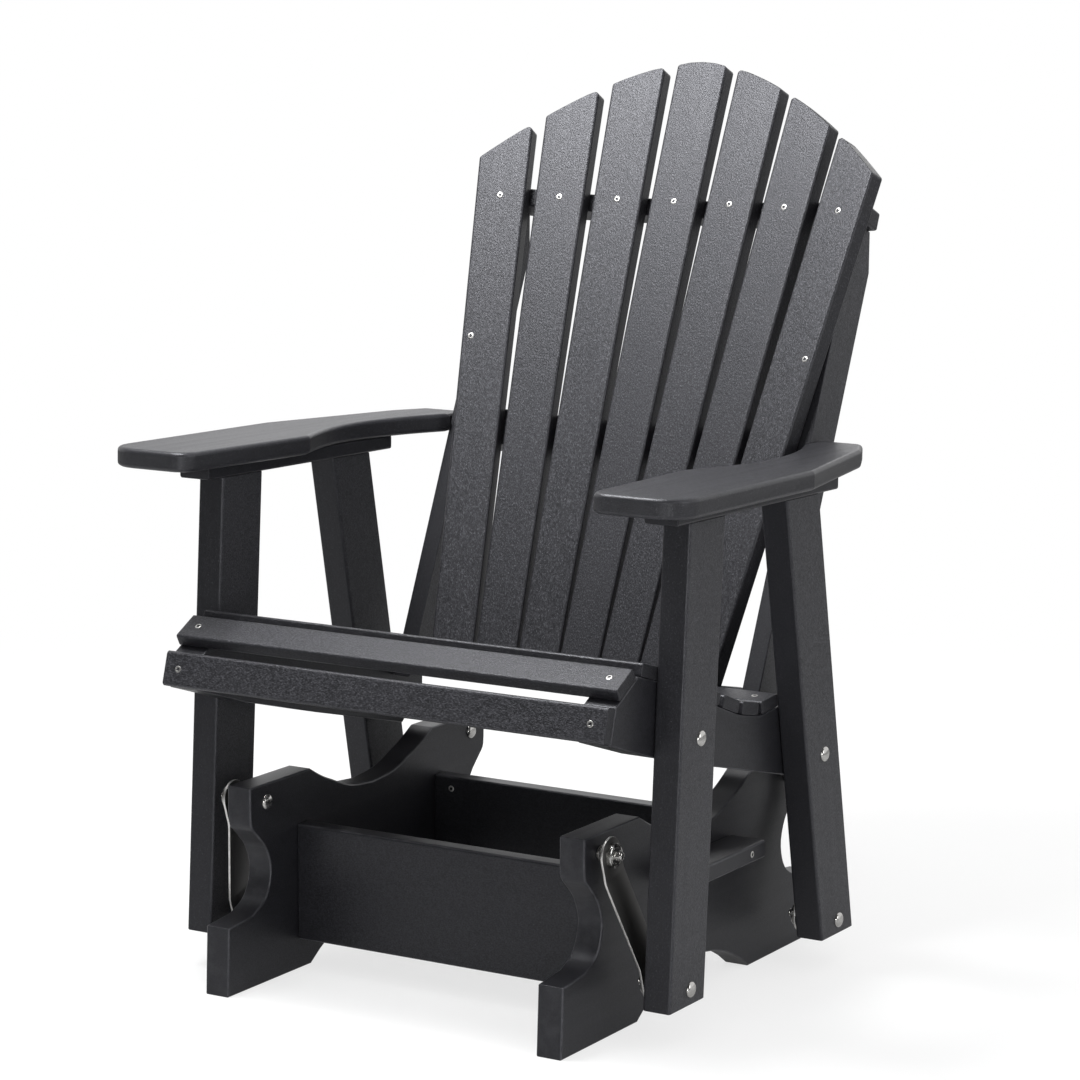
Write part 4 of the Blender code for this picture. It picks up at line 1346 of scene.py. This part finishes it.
def outward_of(node):
    """The direction that a seat slat's upper or front face looks in."""
    board = bpy.data.objects[f"{node}_board"]
    broad = max(board.data.polygons, key=lambda face: (round(face.area, 6), face.normal.z - face.normal.y))
    outward = broad.normal.copy()
    return -outward if outward.z < outward.y else outward


def drive_seat_screws(master):
    """One screw into each end of every seat slat."""
    screws = []
    for number in SEAT_SLATS:
        node = f"seat_slat_{number}"
        outward, middle = outward_of(node), middle_of(node)
        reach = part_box(node)[1].x - glider().screws.seat_inset
        for _, sign in SIDES:
            start = Vector((sign * reach, middle.y, middle.z)) + outward * ABOVE_BOARD
            screws.append(set_into(master, node, start, -outward))
    return screws


def drive_base_screws(master):
    """Two screws into the rear stretcher's inner face and two into each side cleat."""
    sizes = glider().screws
    screws = []
    for _, sign in SIDES:
        start = Vector((sign * sizes.stretcher_reach, 0, sizes.stretcher_height))
        screws.append(set_into(master, "base_stretcher_rear", start, Y_AXIS))
    for side, sign in SIDES:
        middle = middle_of(f"side_cleat_{side}")
        for shift in (-sizes.cleat_front, sizes.cleat_rear):
            start = Vector((sign * FAR_OFF, middle.y + shift, middle.z))
            screws.append(set_into(master, f"side_cleat_{side}", start, -sign * X_AXIS))
    return screws


class GLIDER_OT_screws(Operator):
    """Set the wood screws into the slats, stretchers and cleats"""
    bl_idname = "glider.screws"
    bl_label = "Wood screws"

    def execute(self, context):
        master = screw_master()
        groups = (
            ("back_screws", drive_back_screws, "seat"),
            ("seat_screws", drive_seat_screws, "seat"),
            ("base_screws", drive_base_screws, "base"),
        )
        for name, drive, body in groups:
            joined = join(name, drive(master))
            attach(joined, body)
        discard(master)
        return {"FINISHED"}


def leg_bolt_masters():
    """A domed head, and what shows inside of it: washer, lock nut and threaded end, all about X."""
    sizes = glider().hardware
    radius, nut_end = sizes.dome_radius, sizes.washer + sizes.nut_thick
    shape = [(-x, reach) for x, reach in dome_profile()] + [(-HEAD_SINK, radius * 0.8)]
    head = turned("head", shape, 32)
    washer = turned("washer", [(0, radius), (sizes.washer, radius)], 32)
    nut = hexagon("nut", sizes.washer, sizes.nut_thick, sizes.nut_radius)
    thread = thread_profile(nut_end, nut_end + sizes.tail, sizes.shank)
    tail = turned("tail", [(0, sizes.shank)] + thread, 32)
    inside = join("inside", [washer, nut, tail])
    return finish_turned(head, bolt_steel()), finish_turned(inside, bolt_steel())


class GLIDER_OT_leg_fasteners(Operator):
    """Set the domed bolts that hold the legs to the seat rails, with their nuts inside"""
    bl_idname = "glider.leg_fasteners"
    bl_label = "Leg fasteners"

    def execute(self, context):
        sizes = glider().hardware
        head, inside = leg_bolt_masters()
        pieces = []
        spots = (
            ("front", sizes.front_bolt_y, sizes.front_bolt_z),
            ("rear", sizes.rear_bolt_y, sizes.rear_bolt_z),
        )
        for side, sign in SIDES:
            out = sign * X_AXIS
            for end, y, z in spots:
                pieces.append(set_into(head, f"leg_{end}_{side}", Vector((sign * FAR_OFF, y, z)), -out))
                pieces.append(set_into(inside, f"seat_rail_{side}", Vector((0, y, z)), out))
        joined = join("leg_fasteners", pieces)
        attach(joined, "seat")
        discard(head, inside)
        return {"FINISHED"}


def lamp(name, place, target, width, height, power):
    """A soft area lamp that looks at a target."""
    data = bpy.data.lights.new(name, "AREA")
    data.shape, data.size, data.size_y = "RECTANGLE", width, height
    data.energy = power
    made = new_object(name, data)
    made.location = place
    made.rotation_euler = (Vector(target) - Vector(place)).to_track_quat("-Z", "Y").to_euler()


def aim_camera(settings):
    """The photograph's viewpoint."""
    data = bpy.data.cameras.new("camera")
    camera = new_object("camera", data)
    around, above, turn = settings.azimuth, settings.elevation, settings.roll
    back = Vector((
        math.sin(around) * math.cos(above), -math.cos(around) * math.cos(above), math.sin(above)
    ))
    across = Vector((math.cos(around), math.sin(around), 0))
    up = back.cross(across)
    level = across * math.cos(turn) + up * math.sin(turn)
    rise = up * math.cos(turn) - across * math.sin(turn)
    matrix = Matrix((level, rise, back)).transposed().to_4x4()
    matrix.translation = Vector((0, settings.target_y, settings.target_z)) + back * settings.distance
    camera.matrix_world = matrix
    data.lens, data.sensor_width = settings.lens, SENSOR_WIDTH
    data.shift_x, data.shift_y = settings.shift_x, settings.shift_y
    data.clip_start, data.clip_end = CLIP_START, CLIP_END
    bpy.context.scene.camera = camera


def white_world(settings):
    """White for the camera; for gloss, white behind the glider and dimmer in front of it."""
    world = bpy.data.worlds.new("studio")
    bpy.context.scene.world = world
    tree = blank_tree(world)
    path = tree.nodes.new("ShaderNodeLightPath").outputs
    direction = add_node(tree, "ShaderNodeTexCoord").outputs["Generated"]
    depth = add_node(tree, "ShaderNodeSeparateXYZ", {0: direction}).outputs["Y"]
    gloss = remap(tree, depth, *GLOSS_SPAN, settings.front_gloss, settings.back_gloss)
    gloss = times(tree, path["Is Glossy Ray"], gloss)
    soft = times(tree, math_node(tree, "SUBTRACT", 1.0, path["Is Glossy Ray"]), settings.world_light)
    seen = math_node(tree, "MAXIMUM", path["Is Camera Ray"], path["Is Transmission Ray"])
    strength = math_node(tree, "MAXIMUM", seen, math_node(tree, "ADD", gloss, soft))
    light = add_node(tree, "ShaderNodeBackground", {"Color": (1, 1, 1, 1), "Strength": strength})
    add_node(tree, "ShaderNodeOutputWorld", {"Surface": light.outputs[0]})


def white_floor(settings):
    """A pale floor that reads as white and keeps the glider's soft shadow near its feet."""
    made = bpy.data.materials.new("studio_floor")
    tree = blank_tree(made)
    path = tree.nodes.new("ShaderNodeLightPath").outputs
    own = add_node(tree, "ShaderNodeBsdfDiffuse", {"Color": opaque(settings.floor_color)})
    brightness = remap(tree, path["Is Glossy Ray"], 0.0, 1.0, 1.0, settings.floor_gloss, smooth=False)
    white = add_node(tree, "ShaderNodeEmission", {"Color": (1, 1, 1, 1), "Strength": brightness})
    place = add_node(tree, "ShaderNodeTexCoord").outputs["Object"]
    reach = add_node(tree, "ShaderNodeVectorMath", {0: place}, operation="LENGTH").outputs["Value"]
    kept = remap(tree, reach, settings.shadow_near, settings.shadow_far, settings.shadow_share, 0.0)
    seen = math_node(tree, "MAXIMUM", path["Is Camera Ray"], path["Is Glossy Ray"])
    seen = math_node(tree, "MAXIMUM", seen, path["Is Transmission Ray"])
    share = times(tree, seen, math_node(tree, "SUBTRACT", 1.0, kept))
    mixed = add_node(tree, "ShaderNodeMixShader", {0: share, 1: own.outputs[0], 2: white.outputs[0]})
    add_node(tree, "ShaderNodeOutputMaterial", {"Surface": mixed.outputs[0]})
    return made


class GLIDER_OT_stage(Operator):
    """Set up the floor, the light and the camera"""
    bl_idname = "glider.stage"
    bl_label = "Stage"

    def execute(self, context):
        settings = glider().stage
        context.scene.view_settings.view_transform = "Standard"
        floor = add_shape("plane", size=settings.floor_size)
        floor.name = floor.data.name = "floor"
        floor.data.materials.append(white_floor(settings))
        white_world(settings)
        for name, (place, target, width, height) in LAMPS.items():
            lamp(name, place, target, width, height, getattr(settings, f"{name}_power"))
        aim_camera(settings)
        return {"FINISHED"}


class GLIDER_PT_tools(Panel):
    """Lists the steps that dress the glider"""
    bl_idname = "GLIDER_PT_tools"
    bl_label = "Adirondack glider"
    bl_space_type = "VIEW_3D"
    bl_region_type = "UI"
    bl_category = "Glider"

    def draw(self, context):
        for operator in OPERATORS:
            self.layout.operator(operator.bl_idname)


OPERATORS = (
    GLIDER_OT_base_panels, GLIDER_OT_base_boards, GLIDER_OT_legs, GLIDER_OT_seat, GLIDER_OT_back,
    GLIDER_OT_arms, GLIDER_OT_pivot_bolts, GLIDER_OT_bearings, GLIDER_OT_straps, GLIDER_OT_screws,
    GLIDER_OT_leg_fasteners, GLIDER_OT_stage,
)
SETTINGS = (BoardSizes, HardwareSizes, ScrewSizes, Finishes, StageSettings, GliderSettings)
CLASSES = (*SETTINGS, GLIDER_PT_tools, *OPERATORS)


def register():
    for kind in CLASSES:
        bpy.utils.register_class(kind)
    bpy.types.Scene.glider = PointerProperty(type=GliderSettings)


def unregister():
    del bpy.types.Scene.glider
    for kind in reversed(CLASSES):
        bpy.utils.unregister_class(kind)


def main():
    register()
    kept = {*NODES.values(), *frame["bodies"].values()}
    discard(*(piece for piece in list(bpy.data.objects) if piece not in kept))
    for operator in OPERATORS:
        getattr(bpy.ops.glider, operator.bl_idname.split(".")[1])()


if __name__ == "__main__":
    main()
